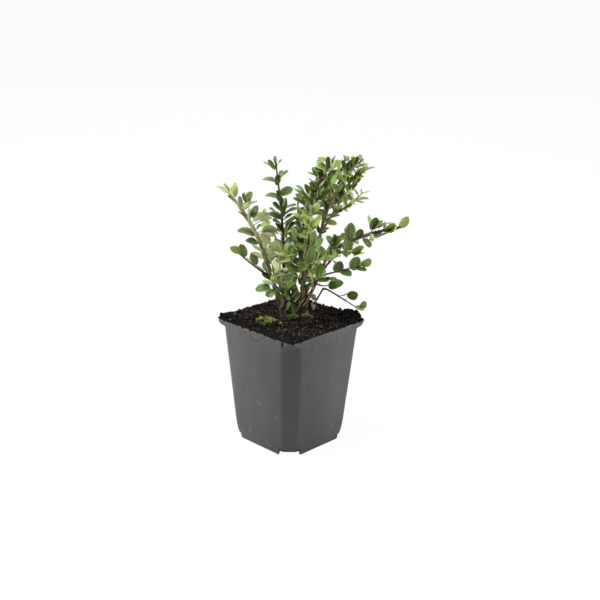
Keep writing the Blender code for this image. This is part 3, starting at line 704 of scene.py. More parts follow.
    def pierce(self, pot: bpy.types.Object) -> None:
        """Cut the four drain holes through the floor, each an upright cylinder on a diagonal."""
        stock = Stock()
        angle = np.array([0.25, 0.75, 1.25, 1.75]) * math.pi
        foot = np.stack([self.drain_reach * np.cos(angle), self.drain_reach * np.sin(angle),
                         np.full(4, self.floor_under - 1)], axis=-1)
        rise = np.array([0, 0, self.floor_top - self.floor_under + 2])
        paths = np.stack([foot, foot + rise], axis=1) * MM
        points, grain = sweep(paths, np.full((4, 2), self.drain * MM), 20)
        stock.add(points, sweep_faces(2, 20))
        holes = stock.piece("holes", [])
        cut = pot.modifiers.new("drain", "BOOLEAN")
        cut.operation = "DIFFERENCE"
        cut.solver = "EXACT"
        cut.object = holes
        bpy.context.view_layer.update()
        graph = bpy.context.evaluated_depsgraph_get()
        mesh = bpy.data.meshes.new_from_object(pot.evaluated_get(graph))
        pot.modifiers.remove(cut)
        plain = pot.data
        pot.data = mesh
        bpy.data.meshes.remove(plain)
        bpy.data.objects.remove(holes, do_unlink=True)


@dataclass(frozen=True)
class CompostFinish:
    """Peat-black compost: crumbs of several browns, wood fibre and a few pale grains."""

    peat: Colour = (0.0028, 0.0023, 0.0020)
    brown: Colour = (0.0150, 0.0110, 0.0090)
    wood: Colour = (0.085, 0.066, 0.050)
    pale: Colour = (0.260, 0.240, 0.190)

    def material(self) -> Material:
        """Make the material: the mark's first number picks the brown, its second the kind of bit."""
        material, graph, shader = new_material("compost")
        place = graph.node("TexCoord").outputs["Object"]
        vector, tint, kind, other = graph.attribute("mark")
        speck = graph.noise(place, 900, 3, 0.6)
        shade = graph.math("ADD", graph.math("MULTIPLY", speck, 0.8), graph.math("MULTIPLY", tint, 0.6))
        soil = graph.mix(graph.ramp(shade, 0.45, 1.05), self.peat, self.brown)
        woody = graph.mix(graph.ramp(tint, 0.0, 1.0), self.brown, self.wood)
        colour = graph.mix(graph.ramp(kind, 0.2, 0.4), soil, woody)
        colour = graph.mix(graph.ramp(kind, 0.7, 0.9), colour, self.pale)
        graph.feed(shader.inputs["Base Color"], colour)
        graph.feed(shader.inputs["Roughness"], 0.92)
        graph.feed(shader.inputs["Specular IOR Level"], 0.08)
        graph.feed(shader.inputs["Normal"], graph.bump(graph.noise(place, 2200, 3, 0.6), 0.0004, 0.7))
        return material


@dataclass
class Compost:
    """The pot's filling, in millimetres: a lumpy bed with crumbs, bits of wood and root fibre on it."""

    level: float = 105.9
    edge: float = 104.9
    half: float = 43.4
    corner: float = 7.2
    plateau: float = 0.62
    crumbs: int = 3400
    rim_crumbs: int = 420
    corner_crumbs: int = 170
    woods: int = 420
    fibres: int = 150
    heaps: tuple[tuple[float, float, float, float], ...] = (
        (51, -7, 5.5, 11), (-55, -2, 2.6, 9), (0, -50, 2.2, 13), (40, 12, 1.0, 8), (-36, 10, 0.8, 8),
        (36, -24, 1.8, 7),
    )

    def height(self, x: Array, y: Array) -> Array:
        """Height of the bed: a plateau that falls to the edge, a few heaps, and layered noise.

        Args:
            x: places, in millimetres.
            y: places, in millimetres.

        Returns:
            The height at each place.
        """
        share = np.maximum(np.abs(x), np.abs(y)) / self.half
        fall = np.clip((share - self.plateau) / (1 - self.plateau), 0, 1)
        height = self.level + (self.edge - self.level) * fall
        across = x * math.cos(PLANT_TURN) + y * math.sin(PLANT_TURN)
        near = x * math.sin(PLANT_TURN) - y * math.cos(PLANT_TURN)
        for heap_across, heap_near, rise, spread in self.heaps:
            away = ((across - heap_across) ** 2 + (near - heap_near) ** 2) / spread ** 2
            height = height + rise * np.exp(-away)
        places = np.stack([x, y, np.zeros(x.shape)], axis=-1)
        rough = 1.2 * lattice_noise(places, 7.0, 21) + 0.8 * layered_noise(places, 3.2, 3, 25)
        return height + rough * np.clip((1.03 - share) * 6, 0.35, 1)

    def bed(self, stock: Stock) -> None:
        """Add the bed: rows up the pot's inside, then inwards over the top to its middle."""
        columns = 256
        angle = (np.arange(columns) + 0.5) * (2 * math.pi / columns)
        side = np.stack([np.cos(angle), np.sin(angle)])
        power = 9.0
        reach = (np.abs(side[0]) ** power + np.abs(side[1]) ** power) ** (-1 / power)
        low = np.array([4.9, 50.0, 95.0, 98.0])
        low_half = np.array([33.2, 37.2, 41.0, 41.3])
        shares = np.concatenate([[1.0], 1 - np.linspace(0.004, 0.985, 88)])
        radius = np.concatenate([low_half, self.half * shares])[:, None] * reach
        cut_reach = (2 * low_half - 9.6)[:, None] / np.abs(side).sum(axis=0)
        radius[:4] = np.minimum(radius[:4], cut_reach)
        x, y = radius * side[0], radius * side[1]
        heights = np.concatenate([low[:, None].repeat(columns, axis=1), self.height(x[4:], y[4:])])
        grid = np.stack([x, y, heights], axis=-1)
        poles = np.array([[0, 0, 4.9], [0, 0, self.level]])
        points = np.concatenate([grid.reshape(-1, 3), poles]) * MM
        stock.add(points[None], sweep_faces(len(grid), columns), mark=np.array([0.3, 0.0, 0.0]))

    def scatter(self, rng: np.random.Generator, count: int, reach: float) -> Array:
        """Random places on the bed, in millimetres, out to a share of its half width."""
        flat = squeeze(rng.uniform(-1, 1, (count, 2)) * self.half * reach, 44.2)
        return np.column_stack([flat, self.height(flat[:, 0], flat[:, 1])])

    def lumps(self, stock: Stock, rng: np.random.Generator, places: Array, size: Array,
              mark: Array) -> None:
        """Add crumbs: icosahedra with each corner moved in or out, stretched and turned at random.

        Args:
            stock: the piece that they go into.
            rng: random numbers.
            places: their middles, in millimetres.
            size: their radii, in millimetres.
            mark: their marks.
        """
        golden = (1 + math.sqrt(5)) / 2
        ball = np.array([(-1, golden, 0), (1, golden, 0), (-1, -golden, 0), (1, -golden, 0),
                         (0, -1, golden), (0, 1, golden), (0, -1, -golden), (0, 1, -golden),
                         (golden, 0, -1), (golden, 0, 1), (-golden, 0, -1), (-golden, 0, 1)])
        ball = unit(ball)
        faces = np.array([(0, 11, 5), (0, 5, 1), (0, 1, 7), (0, 7, 10), (0, 10, 11), (1, 5, 9),
                          (5, 11, 4), (11, 10, 2), (10, 7, 6), (7, 1, 8), (3, 9, 4), (3, 4, 2),
                          (3, 2, 6), (3, 6, 8), (3, 8, 9), (4, 9, 5), (2, 4, 11), (6, 2, 10),
                          (8, 6, 7), (9, 8, 1)])
        count = len(places)
        shape = ball * rng.uniform(0.68, 1.22, (count, 12, 1)) * rng.uniform(0.6, 1.3, (count, 1, 3))
        shape = np.einsum("nij,nkj->nki", random_turns(rng, count), shape)
        points = (places[:, None] + shape * size[:, None, None]) * MM
        stock.add(points, [(faces, 0)], mark=mark[:, None])

    def slivers(self, stock: Stock, rng: np.random.Generator) -> None:
        """Add slivers of wood: thin tapering four-sided bars that lie on the bed at a slant."""
        count = self.woods
        places = self.scatter(rng, count, 0.92)
        turn = rng.uniform(0, 2 * math.pi, count)
        slant = rng.normal(0, 0.28, count)
        aim = np.stack([np.cos(turn) * np.cos(slant), np.sin(turn) * np.cos(slant), np.sin(slant)],
                       axis=-1)
        length = rng.uniform(1.6, 5.5, count)[:, None]
        lift = np.array([0, 0, 1.0]) * rng.uniform(0.1, 0.9, count)[:, None]
        shares = np.array([-0.5, -0.1, 0.25, 0.5])
        paths = places[:, None] + lift[:, None] + (aim * length)[:, None] * shares[:, None]
        paths = paths + rng.normal(0, 0.12, paths.shape)
        radii = rng.uniform(0.18, 0.55, count)[:, None] * np.array([0.6, 1.0, 0.9, 0.5])
        points, grain = sweep(paths * MM, radii * MM, 4)
        mark = np.column_stack([rng.uniform(0, 1, count) ** 2, np.full(count, 0.5), np.zeros(count)])
        stock.add(points, sweep_faces(4, 4), grain, mark[:, None])

    def roots(self, stock: Stock, rng: np.random.Generator) -> None:
        """Add root fibres: hair-thin bowed tubes that lie on the bed, thickest round the stems."""
        count = self.fibres
        middle = plant(2, -4, 0)[:2] / MM
        flat = middle + rng.normal(0, 17, (count, 2))
        flat = np.clip(flat, -41, 41)
        turn = rng.uniform(0, 2 * math.pi, count)
        length = rng.uniform(4, 12, count)
        aim = np.stack([np.cos(turn), np.sin(turn)], axis=-1) * length[:, None]
        aside = np.stack([-np.sin(turn), np.cos(turn)], axis=-1) * rng.normal(0, 0.22, count)[:, None]
        shares = np.linspace(-0.5, 0.5, 7)
        bend = (1 - 4 * shares ** 2)[:, None]
        ground = flat[:, None] + aim[:, None] * shares[:, None] + (aside * length[:, None])[:, None] * bend
        ground = np.clip(ground, -43, 43)
        rise = rng.uniform(0.2, 1.5, count)[:, None] * (1 - 3.4 * shares ** 2)
        heights = self.height(ground[..., 0], ground[..., 1]) + 0.35 + rise
        paths = np.concatenate([ground, heights[..., None]], axis=-1)
        radii = rng.uniform(0.10, 0.20, count)[:, None] * np.array([0.6, 0.9, 1, 1, 1, 0.8, 0.5])
        points, grain = sweep(paths * MM, radii * MM, 3)
        mark = np.column_stack([rng.uniform(0.5, 1.6, count), np.full(count, 0.5), np.zeros(count)])
        stock.add(points, sweep_faces(7, 3), grain, mark[:, None])

    def on_rim(self, rng: np.random.Generator) -> Array:
        """Random places on the pot's rim, in millimetres, most of them along the two near sides."""
        count = self.rim_crumbs
        side = rng.choice(4, count, p=[0.14, 0.38, 0.34, 0.14])
        along = rng.uniform(-42.5, 42.5, count)
        off = rng.uniform(43.2, 45.0, count)
        x = np.select([side == 0, side == 1, side == 2], [off, -off, along], along)
        y = np.select([side == 0, side == 1, side == 2], [along, along, -off], off)
        bury = (off - 43.2) / 1.8
        return np.column_stack([squeeze(np.column_stack([x, y]), 46.0), 105.0 + 0.25 - 0.2 * bury])

    def at_corner(self, rng: np.random.Generator) -> Array:
        """Random places on the rim's near corner, in millimetres, the last nine in a row down it."""
        count = self.corner_crumbs
        turn = 1.25 * math.pi + rng.uniform(-0.16, 0.17, count)
        side = np.stack([np.cos(turn), np.sin(turn)])
        edge = 44.6 * (np.abs(side) ** 16).sum(axis=0) ** (-1 / 16)
        share = rng.uniform(0, 1, count)
        off = edge * (0.955 + 0.045 * share)
        level = 105.6 + 0.4 * rng.uniform(-1, 1, count) - 0.7 * share
        places = np.column_stack([*(side * off), level])
        hung = np.linspace(0, 1, 9)[:, None] * np.array([0.25, 0.0, -3.9])
        places[-9:] = np.array([-44.9, -34.6, 105.0]) + hung
        return places

    def build(self) -> None:
        """Make the bed as one piece and what lies on it as another."""
        rng = np.random.default_rng(7)
        finish = CompostFinish().material()
        bed = Stock()
        self.bed(bed)
        bed.piece("compost_bed", [finish], ("compost",))
        loose = Stock()
        count = self.crumbs
        size = np.exp(rng.normal(-0.35, 0.42, count)).clip(0.28, 2.0)
        places = self.scatter(rng, count, 0.985)
        places[:, 2] += size * rng.uniform(-0.2, 0.45, count)
        mark = np.column_stack([rng.uniform(0, 1, count), np.zeros(count), np.zeros(count)])
        mark[:60, 1] = 1.0
        size[:60] = rng.uniform(0.3, 0.62, 60)
        mark[60:420, 1] = 0.5
        self.lumps(loose, rng, places, size, mark)
        count = self.rim_crumbs
        size = rng.uniform(0.3, 0.95, count)
        mark = np.column_stack([rng.uniform(0, 1, count), np.zeros(count), np.zeros(count)])
        self.lumps(loose, rng, self.on_rim(rng), size, mark)
        places = self.at_corner(rng)
        size = rng.uniform(0.45, 1.0, len(places))
        mark = np.column_stack([rng.uniform(0, 1, len(places)), np.zeros((len(places), 2))])
        self.lumps(loose, rng, places, size, mark)
        self.slivers(loose, rng)
        self.roots(loose, rng)
        loose.piece("compost_crumbs", [finish], smooth=False)


def squeeze(flat: Array, half: float) -> Array:
    """Draw places in to a rounded square, where the eighth powers of x and y add up to half's."""
    wide = (flat ** 8).sum(axis=1) ** (1 / 8)
    return flat * np.minimum(1, half / np.maximum(wide, 1.0))[:, None]


def random_turns(rng: np.random.Generator, count: int) -> Array:
    """Random rotations (count, 3, 3): two random directions made square to each other, and a third."""
    first = unit(rng.normal(size=(count, 3)))
    second = unit(np.cross(first, rng.normal(size=(count, 3))))
    return np.stack([first, second, np.cross(first, second)], axis=1)


@dataclass(frozen=True)
class MossFinish:
    """Moss: yellow-green tips over darker leaflets."""

    name: str
    deep: Colour
    tip: Colour

    def material(self) -> Material:
        """Make the material: from deep to tip as the mark's second number goes from 0 to 1; that number rises up each
        shoot and, as painted shade, falls towards the cushion's edge.
        """
        material, graph, shader = new_material(self.name)
        vector, tint, rise, other = graph.attribute("mark")
        colour = graph.mix(graph.ramp(rise, 0.25, 1.0), self.deep, self.tip)
        shade = graph.math("ADD", graph.math("MULTIPLY", tint, 0.5), 0.7)
        shader_value = graph.node("HueSaturation", {"Value": shade, "Color": colour})
        graph.feed(shader.inputs["Base Color"], shader_value.outputs[0])
        graph.feed(shader.inputs["Roughness"], 0.75)
        graph.feed(shader.inputs["Specular IOR Level"], 0.3)
        return material


@dataclass
class MossCushion:
    """A cushion of moss, in millimetres: a low dome set with rosettes of small pointed leaflets."""

    node: str
    across: float
    near: float
    half_length: float
    half_width: float
    rise: float
    shoots: int
    leaflet: float
    turn: float = 0.0
    foot: float = 105.2

    def build(self, finish: Material, seed: int) -> None:
        """Make the cushion.

        Each shoot stands on the dome, z = rise (1 - r^2)^0.6, and carries leaflets in a spiral that
        lean out less towards its tip. A leaflet is a kite of four triangles, folded along its middle
        and closed beneath.

        Args:
            finish: the material.
            seed: for its random numbers.
        """
        rng = np.random.default_rng(seed)
        stock = Stock()
        centre = plant(self.across, self.near, 0)[:2] / MM
        turned = np.array([math.cos(PLANT_TURN + self.turn), math.sin(PLANT_TURN + self.turn)])
        square = np.array([-turned[1], turned[0]])
        rows, columns = 8, 28
        angle = np.arange(columns) * (2 * math.pi / columns)
        share = np.cos(np.linspace(0, 0.47 * math.pi, rows))[:, None]
        wobble = 1 + 0.12 * np.sin(3 * angle + seed) + 0.07 * np.sin(5 * angle + 2 * seed)
        flat = (turned * (np.cos(angle) * wobble)[:, None] * self.half_length * 0.9
                + square * (np.sin(angle) * wobble)[:, None] * self.half_width * 0.9)
        grid = np.empty((rows, columns, 3))
        grid[..., :2] = centre + flat * share[..., None]
        grid[..., 2] = self.foot + self.rise * 0.72 * (1 - share ** 2) ** 0.6
        poles = np.array([[*centre, self.foot - 0.4], [*centre, self.foot + self.rise * 0.74]])
        points = np.concatenate([grid.reshape(-1, 3), poles]) * MM
        stock.add(points[None], sweep_faces(rows, columns), mark=np.array([0.3, 0.05, 0.0]))

        count = self.shoots
        angle = rng.uniform(0, 2 * math.pi, count)
        share = np.sqrt(rng.uniform(0, 1, count)) * 0.98
        wobble = 1 + 0.12 * np.sin(3 * angle + seed) + 0.07 * np.sin(5 * angle + 2 * seed)
        flat = (turned * (np.cos(angle) * wobble * share)[:, None] * self.half_length
                + square * (np.sin(angle) * wobble * share)[:, None] * self.half_width)
        dome = self.rise * 0.66 * (1 - share ** 2).clip(0) ** 0.6
        foot = np.column_stack([centre + flat, self.foot + dome])
        lean = np.column_stack([flat / self.half_length * 0.9, np.ones(count)])
        axis = unit(lean + rng.normal(0, 0.25, (count, 3)))
        tall = self.rise * 0.34 * rng.uniform(0.75, 1.2, count)
        leaves = 13
        step = np.arange(leaves) / (leaves - 1)
        turn = np.arange(leaves) * GOLDEN_TURN + rng.uniform(0, 6.28, (count, 1))
        guide = unit(np.cross(axis, [1.0, 0.3, 0.1]))
        beside = np.cross(axis, guide)
        out = guide[:, None] * np.cos(turn)[..., None] + beside[:, None] * np.sin(turn)[..., None]
        lean_out = (1.15 - 0.85 * step)[:, None]
        aim = out * np.sin(lean_out) + axis[:, None] * np.cos(lean_out)
        side = unit(np.cross(aim, axis[:, None]))
        face = np.cross(side, aim)
        size = self.leaflet * (1 - 0.35 * step)[None, :, None] * rng.uniform(0.8, 1.2, (count, leaves, 1))
        root = foot[:, None] + axis[:, None] * (tall[:, None] * step)[..., None]
        corners = [root, root + aim * size * 0.45 + side * size * 0.26 + face * size * 0.08,
                   root + aim * size - face * size * 0.12,
                   root + aim * size * 0.45 - side * size * 0.26 + face * size * 0.08,
                   root + aim * size * 0.45 - face * size * 0.04,
                   root + aim * size * 0.45 - face * size * 0.13]
        points = np.stack(corners, axis=2).reshape(-1, 6, 3) * MM
        faces = np.array([(0, 1, 4), (1, 2, 4), (2, 3, 4), (3, 0, 4),
                          (1, 0, 5), (2, 1, 5), (3, 2, 5), (0, 3, 5)])
        tint = np.broadcast_to(rng.uniform(0, 1, (count, 1)), (count, leaves))
        # Painted shade: leaflets lower on the dome, towards the cushion's edge, take more of the deep colour.
        crown = (0.30 + 0.70 * np.sqrt(1 - share ** 2) + rng.normal(0, 0.12, count))[:, None]
        high = np.clip((0.25 + 0.75 * step) * crown + rng.normal(0, 0.08, (count, leaves)), 0, 1)
        mark = np.stack([tint, high, np.zeros((count, leaves))], axis=-1).reshape(-1, 1, 3)
        mark = mark + np.array([0, 0.25, 0]) * np.array([0, 0, 1.0, 0, 0, 0])[None, :, None]
        stock.add(points, [(faces, 0)], mark=mark)
        stock.piece(self.node + "_cushion", [finish], (self.node,), smooth=False)


class Bark(Enum):
    """The finishes of stems, by their slot in the record."""

    OLD = "bark_old"
    TAN = "bark_tan"
    DARK = "bark_dark"


class Tone(Enum):
    """The greens of leaves, by their slot in the record."""

    DARK = "green_dark"
    MID = "green_mid"
    YOUNG = "green_young"
    PALE = "green_pale"


@dataclass(frozen=True)
class Stance:
    """How leaves stand round a twig.

    Each leaf is turned on from the last by step, give or take wander, and leans off the twig by
    spread. Its upper side looks partly along its own way up the twig, by own, and partly at facing.
    A step of zero keeps the leaves on the twig's upper side. Twigs are turned on by twig_step. The
    leaf bends down along its length by arch.
    """

    step: float
    wander: float
    spread: float
    own: float
    facing: tuple[float, float, float]
    twig_step: float
    arch: float


class Habit(Enum):
    """The ways in which a shoot carries its leaves."""

    BUSHY = Stance(GOLDEN_TURN, 0.35, math.radians(56), 0.55, (0, 0.30, 0.6), GOLDEN_TURN, 0.55)
    ARCHING = Stance(math.pi, 0.5, math.radians(54), 0.7, (0, 0.25, 0.6), 0.0, 0.95)
    SPRAY = Stance(math.pi, 0.25, math.radians(56), 0.15, (0, 1, 0.35), math.pi, 0.25)
    UPPER_SPRAY = Stance(0.0, 0.7, math.radians(56), 0.15, (0, 1, 0.35), 0.0, 0.25)
    REAR_SPRAY = Stance(math.pi, 0.25, math.radians(56), 0.3, (0, -0.6, 0.8), math.pi, 0.35)


@dataclass(frozen=True)
class Limb:
    """A tapering stem or bough: it stands on the compost or leaves a parent at a share of its length."""

    name: str
    parent: str
    share: float
    foot: tuple[float, ...]
    tip: tuple[float, float, float]
    bow: tuple[float, float, float]
    radius: float
    tip_radius: float
    bark: Bark


@dataclass(frozen=True)
class Shoot:
    """A leafy stem that leaves a limb at a share of its length, with its twigs and leaves.

    twigs is the chance of a twig at each place for one; above one, the places are as many times
    closer. backs is the share of leaves that stand so steeply that their pale undersides show, and
    youth how young its leaves look below the tip. A spacing of zero leaves it to SEEN.
    """

    name: str
    limb: str
    share: float
    tip: tuple[float, float, float]
    bow: tuple[float, float, float]
    radius: float
    leaf: float
    spacing: float
    twigs: float
    habit: Habit
    tone: Tone
    bark: Bark
    backs: float
    youth: float = 0.0


STEM_FOOT = 106.3
LIMBS = (
    Limb("trunk", "", 0, (9, -12, STEM_FOOT), (10, -12, 129), (0.6, 0, 0), 3.9, 3.0, Bark.OLD),
    Limb("left_stem", "", 0, (-6, 1, STEM_FOOT), (-12, 2, 127), (0.5, 0, 0), 2.3, 1.9, Bark.OLD),
    Limb("bough_left", "left_stem", 1, (), (-18.8, 4.5, 147), (0.5, 0, -0.5), 1.8, 1.6, Bark.TAN),
    Limb("bough_cross", "left_stem", 0.86, (), (0, -3, 144), (1, 0, -1.5), 1.2, 1.0, Bark.TAN),
    Limb("bough_upright", "trunk", 0.50, (), (-7, -9.5, 147), (-1.5, 0, 0), 1.3, 1.1, Bark.DARK),
    Limb("bough_crest", "trunk", 1, (), (7, -9, 158), (-1, 1, 0), 1.7, 1.4, Bark.DARK),
    Limb("bough_tall", "trunk", 0.80, (), (26, -17, 188), (-1, 0, -1), 1.6, 1.2, Bark.TAN),
    Limb("bough_right", "trunk", 0.58, (), (31, -6, 161), (-1, 0, 0), 1.5, 1.2, Bark.DARK),
    Limb("bough_low", "trunk", 0.36, (), (19, -4, 139), (0, 0, 0), 1.0, 0.8, Bark.DARK),
    Limb("bough_trailing", "trunk", 0.16, (), (26, -4, 130.5), (0, 0, -1), 0.8, 0.7, Bark.DARK),
    Limb("bough_front", "trunk", 0.66, (), (10, 7, 147), (0, 1, 0), 1.1, 0.9, Bark.TAN),
    Limb("bough_front_left", "left_stem", 0.5, (), (-7, 14, 136), (0, 1.5, 0), 1.0, 0.8, Bark.TAN),
    Limb("bough_front_right", "trunk", 0.32, (), (17, 8, 133), (0, 1, 0), 1.0, 0.8, Bark.TAN),
    Limb("bough_back_left", "trunk", 0.44, (), (-5, -28, 146), (0, -1.5, 0), 1.1, 0.9, Bark.DARK),
    Limb("bough_back", "trunk", 0.66, (), (10, -32, 150), (0, -1.5, 0), 1.2, 0.9, Bark.DARK),
    Limb("bough_back_right", "trunk", 0.42, (), (27, -27, 141), (0, -1, 0), 1.1, 0.9, Bark.DARK),
)

SHOOTS = (
    Shoot("left_leader", "bough_left", 1, (-49.5, 15, 212), (4.5, 0, 1), 1.9, 10.4, 0, 0.0,
          Habit.ARCHING, Tone.PALE, Bark.TAN, 0.45),
    Shoot("left_twig", "bough_left", 0.88, (-46, 10, 166), (0, 0, -1), 0.8, 9.6, 0, 0.0,
          Habit.UPPER_SPRAY, Tone.MID, Bark.DARK, 0.0),
    Shoot("left_low", "left_stem", 0.80, (-22, 11, 136), (0, 0, 0), 0.7, 10.5, 0, 0.0,
          Habit.UPPER_SPRAY, Tone.DARK, Bark.DARK, 0.0),
    Shoot("left_inner", "bough_left", 0.50, (-18, 2, 174), (-1, 0, 0), 0.9, 10.4, 5.0, 0.9,
          Habit.BUSHY, Tone.PALE, Bark.TAN, 0.45),
    Shoot("upright", "bough_upright", 1, (-15, -12, 235), (2, 0, -2), 1.1, 10.8, 0, 0.0,
          Habit.ARCHING, Tone.DARK, Bark.DARK, 0.1),
    Shoot("inner_left", "bough_upright", 0.45, (-12, 8, 153), (0, 0, 2), 0.7, 10.0, 5.0, 0.8,
          Habit.BUSHY, Tone.MID, Bark.TAN, 0.2),
    Shoot("inner_mid", "bough_upright", 0.85, (3, 6, 171), (0, 1, 0), 0.7, 10.0, 5.0, 0.8,
          Habit.BUSHY, Tone.MID, Bark.TAN, 0.2),
    Shoot("crest", "bough_crest", 1, (31, -5, 238), (-6, 0, 0), 1.7, 8.4, 2.9, 1.9,
          Habit.BUSHY, Tone.DARK, Bark.DARK, 0.25, 0.45),
    Shoot("crest_rear", "bough_crest", 0.86, (4, -26, 204), (-1, -2, 0), 1.0, 9.0, 3.8, 1.2,
          Habit.BUSHY, Tone.DARK, Bark.DARK, 0.2, 0.25),
    Shoot("tall", "bough_tall", 1, (52, -21, 234), (-2, 0, 1), 1.2, 8.4, 2.9, 1.9,
          Habit.BUSHY, Tone.DARK, Bark.TAN, 0.3, 0.6),
    Shoot("tall_rear", "bough_tall", 0.92, (42, -31, 231), (-3, -2, 0), 0.9, 8.4, 3.2, 1.6,
          Habit.BUSHY, Tone.MID, Bark.TAN, 0.3, 0.5),
    Shoot("tall_light", "bough_tall", 0.96, (57, -9, 211), (0, 3, 0), 0.8, 8.4, 0, 0.0,
          Habit.ARCHING, Tone.YOUNG, Bark.TAN, 0.2),
    Shoot("tall_side", "bough_tall", 0.86, (57, -28, 226), (-1, -2, -1), 0.8, 9.4, 3.6, 0.8,
          Habit.BUSHY, Tone.YOUNG, Bark.TAN, 0.2),
    Shoot("right_leader", "bough_right", 1, (86, 12, 188), (-3, 0, 2), 1.6, 10.8, 0, 0.0,
          Habit.SPRAY, Tone.MID, Bark.DARK, 0.0),
    Shoot("right_inner", "bough_right", 0.8, (33, 12, 176), (-2, 2, 0), 0.8, 10.6, 0, 0.0,
          Habit.BUSHY, Tone.MID, Bark.TAN, 0.1),
    Shoot("cross", "bough_cross", 1, (51, 11, 168), (-2, 0, 2), 1.0, 10.8, 5.4, 0.7,
          Habit.SPRAY, Tone.MID, Bark.TAN, 0.05),
    Shoot("low", "bough_low", 1, (56, 10, 154.8), (-2, 0, -0.4), 0.8, 11.0, 0, 0.0,
          Habit.SPRAY, Tone.MID, Bark.DARK, 0.0),
    Shoot("low_short", "bough_low", 0.85, (34, 4, 138), (0, 0, -2.6), 0.6, 10.2, 0, 0.0,
          Habit.UPPER_SPRAY, Tone.MID, Bark.DARK, 0.0),
    Shoot("trailing", "bough_trailing", 1, (54, 3, 116.2), (0, 0, 0.2), 0.7, 10.2, 0, 0.0,
          Habit.UPPER_SPRAY, Tone.MID, Bark.DARK, 0.0),
    Shoot("front", "bough_front", 1, (15, 22, 198), (-2, 4, -2), 0.9, 10.6, 5.0, 0.8,
          Habit.BUSHY, Tone.YOUNG, Bark.TAN, 0.2),
    Shoot("front_mid", "bough_front", 0.85, (22, 32, 172), (0, 3, -2), 0.8, 10.6, 5.2, 0.8,
          Habit.SPRAY, Tone.MID, Bark.TAN, 0.05),
    Shoot("front_left", "bough_front_left", 1, (-10, 34, 170), (0, 3, -3), 0.8, 10.4, 5.2, 0.9,
          Habit.SPRAY, Tone.PALE, Bark.TAN, 0.3),
    Shoot("front_foot", "bough_front_left", 0.8, (-14, 32, 139), (0, 0, 2), 0.7, 10.2, 5.0, 0.5,
          Habit.SPRAY, Tone.DARK, Bark.DARK, 0.1),
    Shoot("front_low", "bough_front_left", 0.5, (0, 20, 138), (0, 0, 2), 0.7, 10.2, 5.0, 0.6,
          Habit.SPRAY, Tone.MID, Bark.DARK, 0.1),
    Shoot("front_right", "bough_front_right", 1, (15, 33, 154), (0, 0, 3), 0.8, 10.6, 5.2, 0.6,
          Habit.SPRAY, Tone.DARK, Bark.TAN, 0.05),
    Shoot("back_left", "bough_back_left", 1, (-24, -46, 180), (1, -3, -2), 0.9, 10.4, 5.2, 0.8,
          Habit.REAR_SPRAY, Tone.DARK, Bark.DARK, 0.1),
    Shoot("back_foot", "bough_back_left", 0.8, (-19, -44, 146), (0, -1, 2), 0.7, 10.4, 5.4, 0.6,
          Habit.REAR_SPRAY, Tone.MID, Bark.DARK, 0.1),
    Shoot("back", "bough_back", 1, (10, -56, 192), (0, -3, -2), 0.9, 10.4, 5.2, 0.8,
          Habit.BUSHY, Tone.DARK, Bark.DARK, 0.1),
    Shoot("back_low", "bough_back", 0.8, (12, -60, 158), (0, -1, 3), 0.8, 10.4, 5.4, 0.7,
          Habit.REAR_SPRAY, Tone.MID, Bark.DARK, 0.1),
    Shoot("back_right", "bough_back_right", 1, (47, -43, 166), (0, -2, -3), 0.9, 10.4, 5.0, 0.8,
          Habit.REAR_SPRAY, Tone.MID, Bark.DARK, 0.1),
)

# Where the photograph shows sky between the leaves: places in picture points, and how far it is
# open around them.
SKY: tuple[tuple[float, float, float], ...] = (
    (291, 199, 4.5), (293, 210, 3.5), (298, 205, 3), (292, 222, 2.5), (263, 223.5, 2.5),
    (272.5, 224, 3.5), (276, 238, 3.5), (302, 240, 2.5), (325.5, 243, 3.5), (318, 226, 2),
    (284, 265, 2), (272, 264, 2.5), (298.5, 254, 1.6), (296, 279, 1.6), (312, 290, 5.5),
    (318.5, 288, 4), (329, 267, 5), (325.5, 263, 3), (337, 258.5, 2), (346.5, 262, 3),
    (342, 203, 2.2), (331, 211, 2), (349, 181, 1.6), (339.7, 166, 1.6), (348, 214, 7), (357, 221, 7),
    (337, 230, 5), (344, 221, 6), (366, 182, 4.5), (373, 178, 7), (366, 188, 2.5), (357, 188, 2.5),
    (355, 196, 2.2), (360, 207, 5), (305, 176, 4), (300, 180, 5), (289, 182, 7), (262, 200, 8),
    (248, 186, 8), (375, 248, 7), (330, 297, 7), (345, 281, 3), (258, 222, 1.5), (245, 224, 3),
    (249, 238, 2), (246, 249, 2.5), (262, 262, 2.5), (252, 271, 5), (340, 225, 5), (366, 210, 9),
    (331, 151.5, 4), (312.5, 178.5, 2.4), (272, 199, 2), (266, 190, 6), (287, 197, 2), (288, 180, 6))
